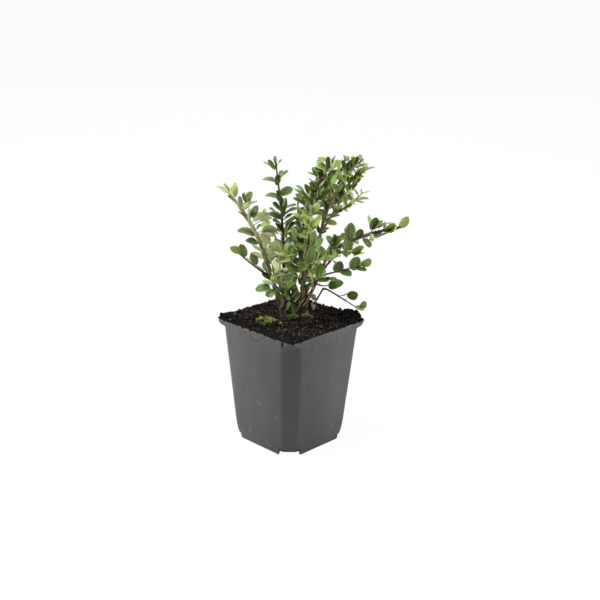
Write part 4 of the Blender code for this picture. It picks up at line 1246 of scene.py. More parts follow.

# Leaves read off the photograph: the foot and the tip in picture points, how broad the
# leaf looks there, less than zero where its underside is seen, its arch in radians, and at times
# its youth from 0 to 1.
SEEN: dict[str, tuple[tuple[float, ...], ...]] = {
    "upright": (
        (276.5, 166, 276.2, 156.3, 3.6, 0.3), (277.5, 165, 281.8, 160, 1.3, 0.6),
        (275.6, 168.5, 267.6, 161, 4.8, 0.2), (272, 166, 263.4, 162.3, 2, 0.3),
        (278.5, 178.5, 288.4, 171, 3.4, 0.1), (278, 178.5, 283.5, 171.5, 4.6, 0.2),
        (278.2, 184.5, 276.4, 175, 6.6, 0.1), (277, 182, 262.3, 179.6, 4.4, 1.0),
        (279.5, 194, 292.6, 188.4, 8, 0.1), (279, 198, 265, 195.8, 5, 1.0),
        (279.5, 199.5, 276.5, 190.5, 5.4, 0.1), (283, 213, 286, 197.6, 7.2, 0.2),
        (284.5, 208, 296.3, 204.8, 3.2, 0.6), (280.5, 209, 272.6, 203.6, 4.4, 0.4),
        (278.8, 214.3, 269.3, 208.8, 1.8, 0.7), (281.5, 218.5, 268, 213.6, 5.6, 0.7),
        (281.5, 224, 272.5, 220.5, 3.5, 0.3), (282.5, 231.5, 275.3, 223.5, 4.6, 0.3),
        (284, 219, 292, 215, 3.6, 0.4), (284, 223.5, 289, 220.7, 2.4, 0.2),
        (284, 231, 290, 222.5, 4, 0.2), (286.5, 238, 287, 226, -3.2, 0.2),
        (282, 205, 279, 196, 5, 0.2), (285, 216, 279, 206, 5, 0.3),
        (283.5, 245.5, 274, 240.5, 3, 1.0), (284.5, 243, 291, 238.5, 3.5, 0.3),
        (284, 250, 289.5, 244, 4, 0.3), (285, 255, 280, 248.5, 3.5, 0.3),
        (291.5, 252, 286.5, 244, 4, 0.3), (285, 214, 297.5, 208, 3.4, 0.6),
        (286, 224, 297, 216, 4.5, 0.3), (288, 229, 296, 223, 4.5, 0.3)),
    "left_leader": (
        (230, 194, 215.6, 185.6, -3.8, 0.2), (230.5, 193, 223.3, 184.2, 2.8, 0.2),
        (235, 197, 235, 182.4, 6.2, 0.2), (231.5, 193.5, 229.6, 184.3, -2.6, 0.2),
        (234, 201, 227.6, 196.2, 2, 0.2), (246, 202, 252.6, 192.4, 6.6, 0.2), (245.5, 203, 244.5, 193, 5, 0.2, 0.2),
        (242.5, 208, 238.5, 196.5, -4.5, 0.2), (244.5, 209.5, 250.5, 200.5, -5.5, 0.2),
        (246, 206, 257.3, 200.6, -2.2, 0.2), (252, 217.5, 257.5, 205.6, 7.4, 0.2),
        (250, 219, 248.5, 208.5, -4, 0.2), (253.5, 221, 263.5, 212.6, -6.2, 0.3),
        (260, 221, 272, 217.5, -5, 0.4), (270.5, 221.5, 260.5, 226.8, 4.6, 0.2),
        (254.5, 236, 237.5, 231, 6, 0.9), (258, 243.6, 245.6, 240.6, 6, 0.6),
        (262.5, 252, 252.5, 244.8, -2.6, 0.1), (247, 220, 238, 211.5, 1.6, 0.5),
        (266.5, 272.5, 264.5, 262, 4, 0.2), (256.5, 229, 261, 224.8, 3, 0.3),
        (266, 249, 265, 237, -5, 0.2), (261.5, 231, 277.5, 230.5, -8, 0.5),
        (263, 234, 275.5, 236.5, -4, 0.3)),
    "left_inner": (
        (268, 247, 283, 247.5, -8, 0.9), (274, 251, 266.5, 251.5, 5.6, 0.3),
        (285, 256.5, 273.5, 251.3, -2.2, 0.1), (269, 258, 284.5, 254.5, -3.4, 0.2),
        (276.5, 270, 274.5, 260, -6, 0.2, 0.4), (276, 277, 283, 269.8, 7, 0.2),
        (287, 270.5, 276.5, 271, -2.2, 0.8)),
    "front_left": (
        (278.5, 259, 290, 260, 5.6, 0.3, 0.6), (282.5, 293, 279.8, 281, 5.4, 0.2, 0.5)),
    "front_foot": ((279, 296, 273.5, 286, 6, 0.2, 0.0),),
    "front_low": (
        (283, 293, 293, 282.5, 5, 0.3, 0.0), (289, 297, 286.5, 288.5, 6, 0.2, 0.0),
        (294, 301, 301, 294.5, 4, 0.3, 0.0), (291, 297, 298, 289, 5, 0.3, 0.0),
        (281, 299, 275.5, 292, 4.5, 0.3, 0.0), (300, 303, 305, 297, 3.5, 0.3, 0.3),
        (286, 309, 291, 303, 3.5, 0.3, 0.5), (288.5, 300.5, 285, 293.5, -4.2, 0.2, 0.0)),
    "inner_left": (
        (286, 289, 297, 280.5, 4, 0.3), (301, 297, 294, 291.5, 5, 0.3),
        (291, 272, 285, 263.5, 4, 0.3)),
    "inner_mid": (
        (296, 250, 285, 255.5, 6.5, 0.3, 0.0), (303, 250, 296, 247.5, 2, 0.6, 0.0),
        (296.5, 238, 291, 227.5, 5, 0.2, 0.0), (304.5, 243.5, 296, 246, 3.5, 0.3, 0.0),
        (301.5, 230, 295, 221.5, 4.5, 0.3, 0.0), (299, 249, 292.5, 240, 4, 0.3, 0.0),
        (300.5, 222.5, 294, 217.5, 3, 0.4, 0.0)),
    "right_inner": (
        (334, 247, 326.5, 235.8, 6.5, 0.3, 0.0), (332, 243, 334.5, 234.8, 4, 0.2, 0.0), (334, 246, 341, 236.5, 7, 0.4, 0.0),
        (327, 256, 320, 246.5, 5, 0.3, 0.0), (320, 258, 327.5, 252, 4, 0.3, 0.0)),
    "front_mid": ((301, 285.5, 306.5, 271, 9, 0.2, 0.0),),
    "front_right": (
        (313.5, 278, 309.5, 270, 4.5, 0.2, 0.0), (297, 312, 291, 304.5, 4.5, 0.3, 0.6),
        (297.5, 317, 291.5, 311, 3.6, 0.3, 0.4)),
    "front": (
        (311, 227, 304, 213, 8.5, 0.2, 0.15), (312, 226, 321.5, 215.5, 6, 0.2, 0.5),
        (314, 230.5, 307, 225.5, 4, 0.2)),
    "left_low": ((270.5, 288, 255.5, 290, 8, 0.9, -0.3),),
    "left_twig": (
        (241, 252.8, 230.2, 247.6, 6.4, 0.2), (245.6, 256.8, 240.8, 244.2, 8, 0.2),
        (256.4, 265, 251.6, 252.4, 7.6, 0.2), (262.5, 258.5, 252.6, 252.2, -4.6, 0.3),
        (250, 262, 246.5, 257.5, -2, 0.2), (264, 271, 256.5, 264.8, -3, 0.2),
        (271.5, 279, 261.8, 273.8, 5.4, 0.3), (271.5, 284.5, 262, 280.5, -4.6, 0.3)),
    "right_leader": (
        (350, 239.5, 351.3, 222.8, 10, 0.1, 0.0), (348, 237, 344.3, 228.8, 4, 0.2),
        (357.5, 237.5, 360.8, 229, 7.4, 0.1, 0.4), (370.5, 229, 367.8, 215, -3.6, 0.1),
        (371.5, 229.5, 376.3, 217.4, 7.6, 0.2, 0.0), (374, 228.5, 383, 221.6, 2.6, 0.2),
        (383.5, 228, 386, 221.5, -3.2, 0.2), (386.5, 231, 394, 223, 7.4, 0.4, 0.9),
        (392, 231, 397, 225.2, -3, 0.2), (383, 230.5, 392, 232.5, 3.6, 0.2),
        (399.6, 227.6, 408.2, 216.8, 7.4, 0.1, 0.9), (364.5, 238, 368.9, 247.6, 6.4, 0.2, 0.0),
        (370.5, 234.5, 374, 240.8, -5, 0.2), (388, 233, 376, 238.5, 2.2, 0.3), (371, 231, 384, 222.8, 2.4, 0.2),
        (378, 228, 392, 222.8, 1.8, 0.6), (369, 240, 383, 233.6, 3.2, 0.2), (401, 227.6, 388, 232.6, 1.2, 0.2)),
    "tall_light": (
        (361.5, 193, 369.8, 191.4, 2.4, 0.3), (361.8, 193, 360.8, 188.8, 1.8, 0.1),
        (358.5, 195.5, 353.8, 189.6, 2.2, 0.2), (358, 199.5, 368.8, 198.6, 3, 0.6),
        (357, 200, 363.8, 203, 2.4, 0.2), (349, 205, 358, 199, -3.6, 0.1),
        (344.5, 209, 352.5, 204.8, 2.8, 0.2), (343.5, 208.5, 347, 211.6, 2, 0.2),
        (334, 214, 341.5, 208.5, 2.6, 0.2), (337, 213, 343, 210.5, 1.8, 0.2),
        (326.5, 222.5, 337, 224, 4.8, 0.4), (330, 217.5, 340, 214.9, 2.2, 0.1),
        (320, 231.5, 329.4, 228.2, 2.4, 0.4), (318.5, 235, 326.5, 231.4, 2, 0.3),
        (344, 209.5, 337, 205.5, 2.4, 0.3)),
    "cross": (
        (353.5, 254.5, 360.5, 245.4, 7, 0.2, 0.9), (353.5, 255, 364, 253.2, 2.6, 0.2),
        (346, 256, 349.8, 240.3, 8.6, 0.1), (347, 257, 341.5, 252, 3, 0.2),
        (334.5, 258.5, 331.5, 245.5, 9, 0.1, 0.0), (300, 271.5, 289, 271, 4.5, 0.3, 0.0),
        (294, 270, 296.3, 257.5, 9, 0.1, 0.0), (310, 262, 312, 248, 8, 0.1, 0.0)),
    "low": (
        (336, 272.5, 341, 261.2, 10, 0.1, 0.0), (340.5, 270.5, 351, 276, 7, 0.1, 0.25),
        (352, 270, 358.5, 257, 11, 0.1, 0.25), (356.5, 267.5, 366, 271, 4.8, 0.2, 0.0),
        (363, 266.8, 369.5, 258.4, 8.4, 0.1, 0.8), (318.5, 278, 321.3, 264, 10, 0.1, 0.0),
        (326, 279, 313, 279.5, 5, 0.4, 0.0), (303.5, 287.5, 314, 284, 4, 0.3, 0.0)),
    "low_short": (
        (328.5, 287.5, 343.3, 282.5, 8.6, 0.2, 0.4), (326, 280, 337, 280.2, 3.4, 0.8, 0.0),
        (320, 282, 328.5, 276.5, 4, 0.3, 0.0), (315, 296.5, 306.5, 293.5, -3, 0.3, 0.0)),
    "trailing": (
        (347.3, 297, 357.6, 293.2, 8.4, 0.1, 0.35), (338, 296.4, 347.8, 293.2, 1.2, 0.4, -1.0), (355.5, 305.5, 363.3, 310.6, 4.8, 0.2),
        (362, 309.5, 364, 301, 7, 0.1, 0.6), (317, 300, 310.5, 297, 4.6, 0.3, 0.0),
        (315, 309, 311.5, 302.5, 4, 0.2, 0.0)),
    "crest": (
        (328.8, 168, 335.8, 155.4, 2.8, 0.1, -1.0), (328.5, 166, 327, 156.8, 4.6, 0.1, -0.55),
        (328, 160.8, 317.4, 157.6, 3.2, 0.4), (326.5, 168.5, 316.3, 165.3, 5.4, 1.2),
        (330, 166, 330.6, 156.8, -2.2, 0.1), (331, 169, 336, 159.5, -3.4, 0.2),
        (322, 172, 312.5, 168, 3, 0.5), (318, 175, 307.5, 172.2, 2, 0.2),
        (317, 177, 312, 167.5, 3.6, 0.2), (320, 178, 321, 167.5, 5.0, 0.1, 0.3),
        (315.5, 184, 308.8, 178.8, 1.6, 0.3), (318, 188.5, 309.5, 182.5, 6, 0.2),
        (309, 193, 304.5, 184.5, 5, 0.1), (303, 196.5, 293.3, 188.8, 3.2, 1.1),
        (304, 193, 296, 185.3, 2.6, 0.9), (304, 200, 295.4, 194, 4.4, 0.3),
        (304, 204, 293, 198, 4.2, 0.3), (302, 210, 296.3, 206.8, 2, 0.2),
        (300.8, 219, 291.2, 214.3, 2.6, 1.1), (307, 199, 301.5, 191, 4, 0.2),
        (311, 202, 303, 197, 5, 0.3), (310, 206, 300.5, 201.5, 4.5, 0.3),
        (313, 212, 318.5, 202.5, 6.5, 0.2), (307, 258, 304.5, 246.5, 5, 0.2),
        (306, 264, 300.5, 253.5, 4, 0.2), (326, 174, 325, 165, 5, 0.3),
        (328, 177, 336, 170, 5.5, 0.3), (316, 199.5, 326, 195.5, 4.5, 0.2),
        (320, 175.5, 315, 168.5, 4.5, 0.3), (320.5, 188, 324.5, 180, -2.5, 0.2),
        (325, 190, 330, 180.5, 5, 0.3), (318.5, 194.5, 323, 187, 4, 0.3),
        (313.5, 193.5, 309, 186.5, 3.5, 0.3), (316.5, 205, 313, 199, 3, 0.2, 0.4),
        (312.5, 214, 309, 205.5, 4, 0.2), (309, 216, 301.5, 211, 4, 0.4),
        (309.5, 265, 303.5, 258.5, 4, 0.3),
              (321.8, 187.5, 325.2, 173, 5.4, 0.2, -0.9), (315.2, 199, 311, 188.5, 5.6, 0.2, -0.8),
              (309.4, 211, 306.4, 201, 5.4, 0.2, -0.8), (336.4, 204, 336.2, 195, 4.6, 0.2, -0.6)),
    "tall_rear": (
        (334, 175, 343, 169, 5.5, 0.3), (335, 168, 337.5, 159.5, 4.5, 0.2),
        (345, 169, 342, 160.5, 4, 0.2, 0.0), (330, 184, 338, 176, 6, 0.2),
        (322, 197, 330, 189.5, 5.5, 0.2), (328, 201, 331.5, 191, 5, 0.2),
        (333, 193, 328.5, 185, 4, 0.3)),
    "tall": (
        (350, 163, 345.4, 156.2, 2.2, 0.2), (355, 164, 351, 157.5, 3.6, 0.2),
        (355.5, 164, 356.5, 156.3, 4.2, 0.1), (356.5, 162, 361, 156.5, 2.6, 0.1),
        (357, 164.5, 364, 159.8, 2.4, 0.3), (358.5, 167, 368.3, 165, 2.6, 0.9),
        (347.5, 171.5, 347.5, 162, 4.5, 0.2), (351, 169, 350, 160, 4, 0.2),
        (352, 176, 343, 172, 5, 0.3), (346, 181, 336, 173.5, 4, 0.3),
        (344, 183, 337, 175, 4.5, 0.2), (340, 193, 332.5, 184, 5.5, 0.3, 0.6),
        (341, 192, 345, 183.5, 4.5, 0.2), (338.5, 198, 345, 190.5, 5, 0.2),
        (333, 208, 328.5, 200, 4.5, 0.2), (323, 210, 311, 214.8, 4.5, 0.3),
        (309, 246, 306.5, 232, 7, 0.2, 0.0), (312, 246, 313.5, 230, 6.5, 0.2, 0.0),
        (315.5, 248, 323, 238.5, 5, 0.3, 0.0), (354, 164.5, 353, 157, 3.5, 0.2),
        (354.5, 178, 357.5, 170.5, 4, 0.3, 0.9), (349.5, 184.5, 345.5, 175, 4, 0.2),
        (346, 183.5, 342.5, 175.5, 3.4, 0.2), (349, 184, 352.5, 174.5, 4, 0.3, 0.9),
        (313, 229, 319.5, 222.5, 3.2, 0.3), (319, 233, 315.5, 222.5, 4, 0.2, 0.0),
        (340, 182, 346, 174.5, 4.5, 0.3), (343, 170, 349.5, 163.5, 4, 0.2), (336, 190, 343.5, 185, 4.5, 0.2),
        (341, 200, 337, 193, 4, 0.2), (329, 182, 333.5, 173.5, 4.5, 0.2), (338, 169, 341.5, 160.5, 4, 0.2), (326, 213, 325.5, 202, 5, 0.2, 0.3)),
    "tall_side": (
        (359, 175, 368, 166.5, 4.2, 0.2, 0.7), (364, 171, 374.6, 167.4, 2.2, 0.3, 0.1),
        (357, 177, 363, 168, 5, 0.2), (352, 184.5, 361, 179.2, 3.6, 0.2, 0.7),
        (353, 183, 358.5, 175.5, 4, 0.2, 1.0), (351.5, 190, 357.5, 184, 3.6, 0.2, 0.7), (350, 192, 346, 184.5, 6, 0.2),
        (351, 199.5, 350, 190, -4.5, 0.2), (347, 205, 343, 196, 4.5, 0.2),
        (337, 213.5, 332.5, 204.5, 5, 0.2), (351, 199, 346.5, 194.5, 2.5, 0.3)),
}


@dataclass(frozen=True)
class Viewpoint:
    """Where the photograph was taken from, in metres: its picture is a square of picture points."""

    lens: float = 65.0
    sensor: float = 36.0
    picture: float = 600.0
    azimuth: float = math.radians(-45.85)
    elevation: float = math.radians(18.56)
    roll: float = math.radians(1.09)
    distance: float = 0.894
    aim_across: float = 0.0070
    aim_up: float = 0.1211

    def axes(self) -> Array:
        """The camera's own axes as rows: to its side, up and back."""
        level = np.array([math.sin(self.azimuth), -math.cos(self.azimuth), 0])
        back = level * math.cos(self.elevation) + np.array([0, 0, math.sin(self.elevation)])
        right = np.array([math.cos(self.azimuth), math.sin(self.azimuth), 0])
        side = right * math.cos(self.roll) + np.cross(back, right) * math.sin(self.roll)
        return np.array([side, np.cross(back, side), back])

    def place(self) -> Array:
        """The camera's own place."""
        right = np.array([math.cos(self.azimuth), math.sin(self.azimuth), 0])
        return right * self.aim_across + np.array([0, 0, self.aim_up]) + self.axes()[2] * self.distance

    def picture_places(self, points: Array) -> tuple[Array, Array]:
        """Where points are in the picture, and how far they are from the camera."""
        offset = (points - self.place()) @ self.axes().T
        depth = -offset[:, 2]
        scale = self.picture * self.lens / self.sensor / depth
        middle = self.picture / 2
        places = np.stack([middle + offset[:, 0] * scale, middle - offset[:, 1] * scale], axis=-1)
        return places, depth

    def sight(self, x: float, y: float) -> Array:
        """The direction through a point of the picture, counted from its top left corner."""
        side, up, back = self.axes()
        step = self.sensor / self.lens / self.picture
        middle = self.picture / 2
        return unit(side * (x - middle) * step - up * (y - middle) * step - back)


VIEW = Viewpoint()


class Bow:
    """A bowed line from a foot to a tip: a parabola whose middle is moved off by the bow."""

    def __init__(self, foot: Array, tip: Array, bow: Array) -> None:
        """Keep the three points that shape the line."""
        self.foot = foot
        self.tip = tip
        self.control = (foot + tip) / 2 + 2 * bow
        points = self.point(np.linspace(0, 1, 21))
        self.length = float(np.linalg.norm(np.diff(points, axis=0), axis=1).sum())

    def point(self, share: Array | float) -> Array:
        """The points at shares of the way: foot (1-t)^2 + 2 control t (1-t) + tip t^2."""
        t = np.asarray(share, dtype=float)[..., None]
        return self.foot * (1 - t) ** 2 + self.control * 2 * t * (1 - t) + self.tip * t * t

    def heading(self, share: Array | float) -> Array:
        """The direction of travel at shares of the way."""
        t = np.asarray(share, dtype=float)[..., None]
        return unit((self.control - self.foot) * (1 - t) + (self.tip - self.control) * t)

    def cut(self, share: float) -> Self:
        """Its first part, up to a share of the way."""
        tip = self.point(share)
        control = self.foot + (self.control - self.foot) * share
        return Bow(self.foot, tip, (control - (self.foot + tip) / 2) / 2)


def leave(curve: Bow, thickness: float, share: float, tip: Array, bow: Array, radius: float) -> Bow:
    """The line of a limb that leaves another: just off its end, or off its flank, to a tip.

    Args:
        curve: the parent's line.
        thickness: the parent's radius there.
        share: how far along the parent.
        tip: where it goes.
        bow: how far its middle is moved off.
        radius: its own radius.

    Returns:
        The line.
    """
    spot = curve.point(share)
    axis = curve.heading(share)
    start = spot
    gap = 0.3 * MM
    for _ in range(3):
        rough = Bow(start, tip, bow).heading(0.0)
        along = float(rough @ axis)
        if share >= 1:
            start = spot + axis * (gap + radius * math.sqrt(max(0.0, 1 - along * along)))
        else:
            outward = unit(rough - axis * along)
            start = spot + outward * (thickness + gap + radius * abs(along))
    return Bow(start, tip, bow)


@dataclass
class Stem:
    """A placed limb, stem or twig: its line, its radii and its joints, in metres.

    It leaves its parent at a distance away along it. Its first few millimetres are drawn aside to root, a point inside the parent, by the square of
    the share of the bend that is still to go.
    """

    curve: Bow
    radius: float
    tip_radius: float
    bark: Bark
    sides: int
    root: Array | None = None
    flare: float = 0.0
    age: float = 1.0
    joints: list[float] = field(default_factory=list)
    parent: Self | None = None
    away: float = 0.0

    def path(self, shares: Array) -> Array:
        """The points of its middle line at shares of its length."""
        points = self.curve.point(shares)
        if self.root is not None:
            offset = self.root - self.curve.foot
            bend = 1.6 * np.linalg.norm(offset) + 1.5 * MM
            left = np.clip(1 - shares * self.curve.length / bend, 0, 1) ** 2
            points = points + offset * left[..., None]
        return points

    def plain_radius(self, shares: Array | float) -> Array:
        """The radius without joints: an even taper, wider at the collar or the root flare."""
        shares = np.asarray(shares, dtype=float)
        taper = self.radius + (self.tip_radius - self.radius) * shares
        away = shares * self.curve.length
        if self.flare:
            return taper * (1 + self.flare * np.exp(-(away / (4.2 * MM)) ** 2))
        return taper * (1 + 0.35 * np.exp(-(away / (2.2 * self.radius)) ** 2))

    def build(self, stock: Stock, seed: int) -> None:
        """Add the stem to a piece of its bark.

        Rings follow the path, closer at the joints, where the radius swells by a bell curve 0.7 mm
        wide. Old bark is ridged by noise that is stretched along the stem.

        Args:
            stock: the piece.
            seed: for its noise.
        """
        length = self.curve.length
        count = max(4, int(length / (1.1 * MM if self.radius > 1.4 * MM else 1.6 * MM)))
        shares = np.linspace(0, 1, count)
        joints = np.array(self.joints)
        if len(joints):
            near = (joints[:, None] + np.array([-0.7, 0, 0.7]) * MM).ravel() / length
            shares = np.unique(np.concatenate([shares, near[(near > 0) & (near < 1)]]))
        paths = self.path(shares)[None]
        places = paths / MM
        sway = np.stack([lattice_noise(places, 9.0, seed + k) for k in range(3)], axis=-1)
        ease = np.minimum(shares * 6, 1) * np.minimum((1 - shares) * 6, 1)
        paths = paths + sway * (0.28 * MM * min(1.0, length / (30 * MM))) * ease[:, None]
        radii = self.plain_radius(shares)
        if len(joints):
            away = (shares * length)[:, None] - joints
            swell = np.exp(-(away / (0.75 * MM)) ** 2).max(axis=1)
            radii = radii + swell * (0.13 * MM + 0.10 * radii)
        points, grain = sweep(paths, radii[None], self.sides)
        if self.radius > 0.95 * MM:
            ridge = grain[:, :-2].copy()
            ridge[..., 2] *= 0.28
            rough = layered_noise(ridge / MM, 0.8, 3, seed + 9).reshape(1, len(shares), self.sides)
            depth = 0.055 + 0.05 * (self.bark is Bark.OLD)
            points, grain = sweep(paths, radii[None, :, None] * (1 + depth * rough), self.sides)
        youth = np.repeat(shares * self.age, self.sides)
        youth = np.concatenate([youth, [0, self.age]])
        tint = (math.sin(seed * 12.9898) * 43758.5453) % 1.0
        mark = np.stack([np.full(len(youth), tint), youth, np.zeros(len(youth))], axis=-1)
        stock.add(points, sweep_faces(len(shares), self.sides), grain, mark[None])


@dataclass(frozen=True)
class BarkFinish:
    """Bark: the old wood's colour, the young tip's, and the pale flecks on it."""

    name: str
    old: Colour
    old_ridge: Colour
    young: Colour
    depth: float

    def material(self) -> Material:
        """Make the material on the stem drawn straight.

        Ridges are noise stretched eight times along the stem, and flecks are a finer noise's peaks.

        Returns:
            The material.
        """
        material, graph, shader = new_material(self.name)
        grain = graph.attribute("grain")[0]
        vector, tint, youth, other = graph.attribute("mark")
        ridge = graph.noise(graph.stretch(grain, (1, 1, 0.13)), 1500, 4, 0.62)
        blotch = graph.noise(grain, 260, 2, 0.5)
        colour = graph.mix(graph.ramp(ridge, 0.34, 0.68), self.old, self.old_ridge)
        colour = graph.mix(graph.ramp(youth, 0.05, 0.65), colour, self.young)
        dark = graph.math("MULTIPLY", graph.ramp(blotch, 0.62, 0.35), 0.45)
        colour = graph.mix(dark, colour, graph.mix(1.0, colour, (0.35, 0.30, 0.28), "MULTIPLY"))
        fleck = graph.ramp(graph.noise(graph.stretch(grain, (1, 1, 1.6)), 2100, 1), 0.66, 0.72, 0, 0.5)
        colour = graph.mix(fleck, colour, self.old_ridge)
        graph.feed(shader.inputs["Base Color"], colour)
        graph.feed(shader.inputs["Roughness"], 0.68)
        graph.feed(shader.inputs["Specular IOR Level"], 0.35)
        graph.feed(shader.inputs["Normal"], graph.bump(ridge, self.depth * MM, 0.8))
        return material


BARKS = {
    Bark.OLD: BarkFinish("bark_old", (0.028, 0.015, 0.009), (0.092, 0.052, 0.032), (0.080, 0.040, 0.024), 0.5),
    Bark.TAN: BarkFinish("bark_tan", (0.125, 0.090, 0.045), (0.350, 0.295, 0.145), (0.520, 0.480, 0.240), 0.22),
    Bark.DARK: BarkFinish("bark_dark", (0.028, 0.019, 0.012), (0.085, 0.060, 0.036), (0.130, 0.100, 0.052), 0.22),
}


@dataclass(frozen=True)
class LeafFinish:
    """A leaf's upper side: its blade, the paler rim and veins, and a young and a turned leaf's colour."""

    name: str
    blade: Colour
    rim: Colour
    young: Colour
    turned: Colour = (0.105, 0.072, 0.048)
    roughness: float = 0.5

    def material(self, veins: bpy.types.NodeTree) -> Material:
        """Make the material.

        Args:
            veins: the group that draws the leaf's pattern.

        Returns:
            The material.
        """
        material, graph, shader = new_material(self.name)
        pattern = graph.tree.nodes.new("ShaderNodeGroup")
        pattern.node_tree = veins
        graph.feed(pattern.inputs["Blade"], self.blade)
        graph.feed(pattern.inputs["Rim"], self.rim)
        graph.feed(pattern.inputs["Young"], self.young)
        graph.feed(pattern.inputs["Turned"], self.turned)
        graph.feed(shader.inputs["Base Color"], pattern.outputs["Colour"])
        rough = graph.math("ADD", graph.math("MULTIPLY", pattern.outputs["Height"], 0.10),
                           self.roughness - 0.05)
        graph.feed(shader.inputs["Roughness"], rough)
        graph.feed(shader.inputs["Specular IOR Level"], 0.28)
        graph.feed(shader.inputs["Normal"], graph.bump(pattern.outputs["Height"], 0.00022, 0.7))
        return material


LEAVES = {
    Tone.DARK: LeafFinish("leaf_dark", (0.056, 0.114, 0.022), (0.225, 0.305, 0.085), (0.165, 0.230, 0.045)),
    Tone.MID: LeafFinish("leaf_mid", (0.052, 0.110, 0.015), (0.225, 0.300, 0.080), (0.190, 0.255, 0.045)),
    Tone.YOUNG: LeafFinish("leaf_young", (0.125, 0.205, 0.028), (0.310, 0.370, 0.090), (0.310, 0.360, 0.085)),
    Tone.PALE: LeafFinish("leaf_pale", (0.085, 0.150, 0.030), (0.310, 0.370, 0.130), (0.250, 0.275, 0.085)),
}


def vein_group() -> bpy.types.NodeTree:
    """The leaf's pattern on its own place: along the blade, and across it from -1 to 1.

    The midrib is the band where the way across is small, the side veins are the peaks of a sine of
    the way along less half the way across, and the rim is where the way across nears one. The rim's paler colour is
    partly the margin's own and partly a painted highlight.

    Returns:
        The group, which gives a colour and a height.
    """
    graph, start, end = new_group(
        "leaf_pattern",
        {"Blade": ("Color", (0.05, 0.1, 0.03)), "Rim": ("Color", (0.2, 0.3, 0.1)),
         "Young": ("Color", (0.3, 0.4, 0.1)), "Turned": ("Color", (0.10, 0.07, 0.05))},
        {"Colour": "Color", "Height": "Float"})
    vector, along, across, other = graph.attribute("grain")
    mark, tint, youth, wear = graph.attribute("mark")
    aside = graph.math("ABSOLUTE", across)
    slanted = graph.math("SUBTRACT", graph.math("MULTIPLY", along, 34.0), graph.math("MULTIPLY", aside, 9.0))
    ribs = graph.ramp(graph.math("SINE", slanted), 0.55, 1.0)
    ribs = graph.math("MULTIPLY", ribs, graph.ramp(aside, 0.95, 0.55))
    midrib = graph.ramp(aside, 0.13, 0.03)
    lines = graph.math("MAXIMUM", graph.math("MULTIPLY", ribs, 0.45), midrib)
    # The paler rim is partly the margin's own colour and partly a painted highlight.
    outer = graph.ramp(aside, 0.58, 0.95)
    place = graph.node("TexCoord").outputs["Object"]
    mottle = graph.noise(place, 520, 3, 0.6)
    blade = graph.mix(graph.ramp(youth, 0.2, 1.0), start.outputs["Blade"], start.outputs["Young"])
    blade = graph.mix(graph.math("MULTIPLY", lines, 0.55), blade, start.outputs["Rim"])
    blade = graph.mix(graph.math("MULTIPLY", outer, 0.80), blade, start.outputs["Rim"])
    blade = graph.mix(graph.ramp(youth, -0.1, -1.0, 0.0, 0.9), blade, start.outputs["Turned"])
    shade = graph.math("ADD", graph.math("MULTIPLY", tint, 0.55), graph.math("MULTIPLY", mottle, 0.5))
    bright = graph.ramp(shade, 0.15, 0.95, 0.68, 1.38)
    hue = graph.math("ADD", graph.math("MULTIPLY", wear, 0.030), 0.483)
    made = graph.node("HueSaturation", {"Hue": hue, "Value": bright, "Color": blade})
    graph.feed(end.inputs["Colour"], made.outputs[0])
    height = graph.math("SUBTRACT", graph.math("MULTIPLY", mottle, 0.15), lines)
    graph.feed(end.inputs["Height"], height)
    return graph.tree


@dataclass(frozen=True)
class UndersideFinish:
    """The underside of a leaf: pale grey-green with raised veins."""

    name: str = "leaf_underside"
    blade: Colour = (0.270, 0.325, 0.165)
    rim: Colour = (0.440, 0.490, 0.270)
    young: Colour = (0.450, 0.510, 0.260)

    def material(self, veins: bpy.types.NodeTree) -> Material:
        """Make the material with the leaf's pattern, raised and not sunk."""
        material, graph, shader = new_material(self.name)
        pattern = graph.tree.nodes.new("ShaderNodeGroup")
        pattern.node_tree = veins
        graph.feed(pattern.inputs["Blade"], self.blade)
        graph.feed(pattern.inputs["Rim"], self.rim)
        graph.feed(pattern.inputs["Young"], self.young)
        graph.feed(shader.inputs["Base Color"], pattern.outputs["Colour"])
        graph.feed(shader.inputs["Roughness"], 0.8)
        graph.feed(shader.inputs["Specular IOR Level"], 0.3)
        raised = graph.math("MULTIPLY", pattern.outputs["Height"], -1.0)
        graph.feed(shader.inputs["Normal"], graph.bump(raised, 0.00025, 0.7))
        return material


@dataclass(frozen=True)
class Leaf:
    """A placed leaf: where its blade begins and how it lies, in metres."""

    twig: Array
    root: Array
    aim: Array
    face: Array
    length: float
    arch: float
    youth: float
    tone: Tone
    seen: bool = False


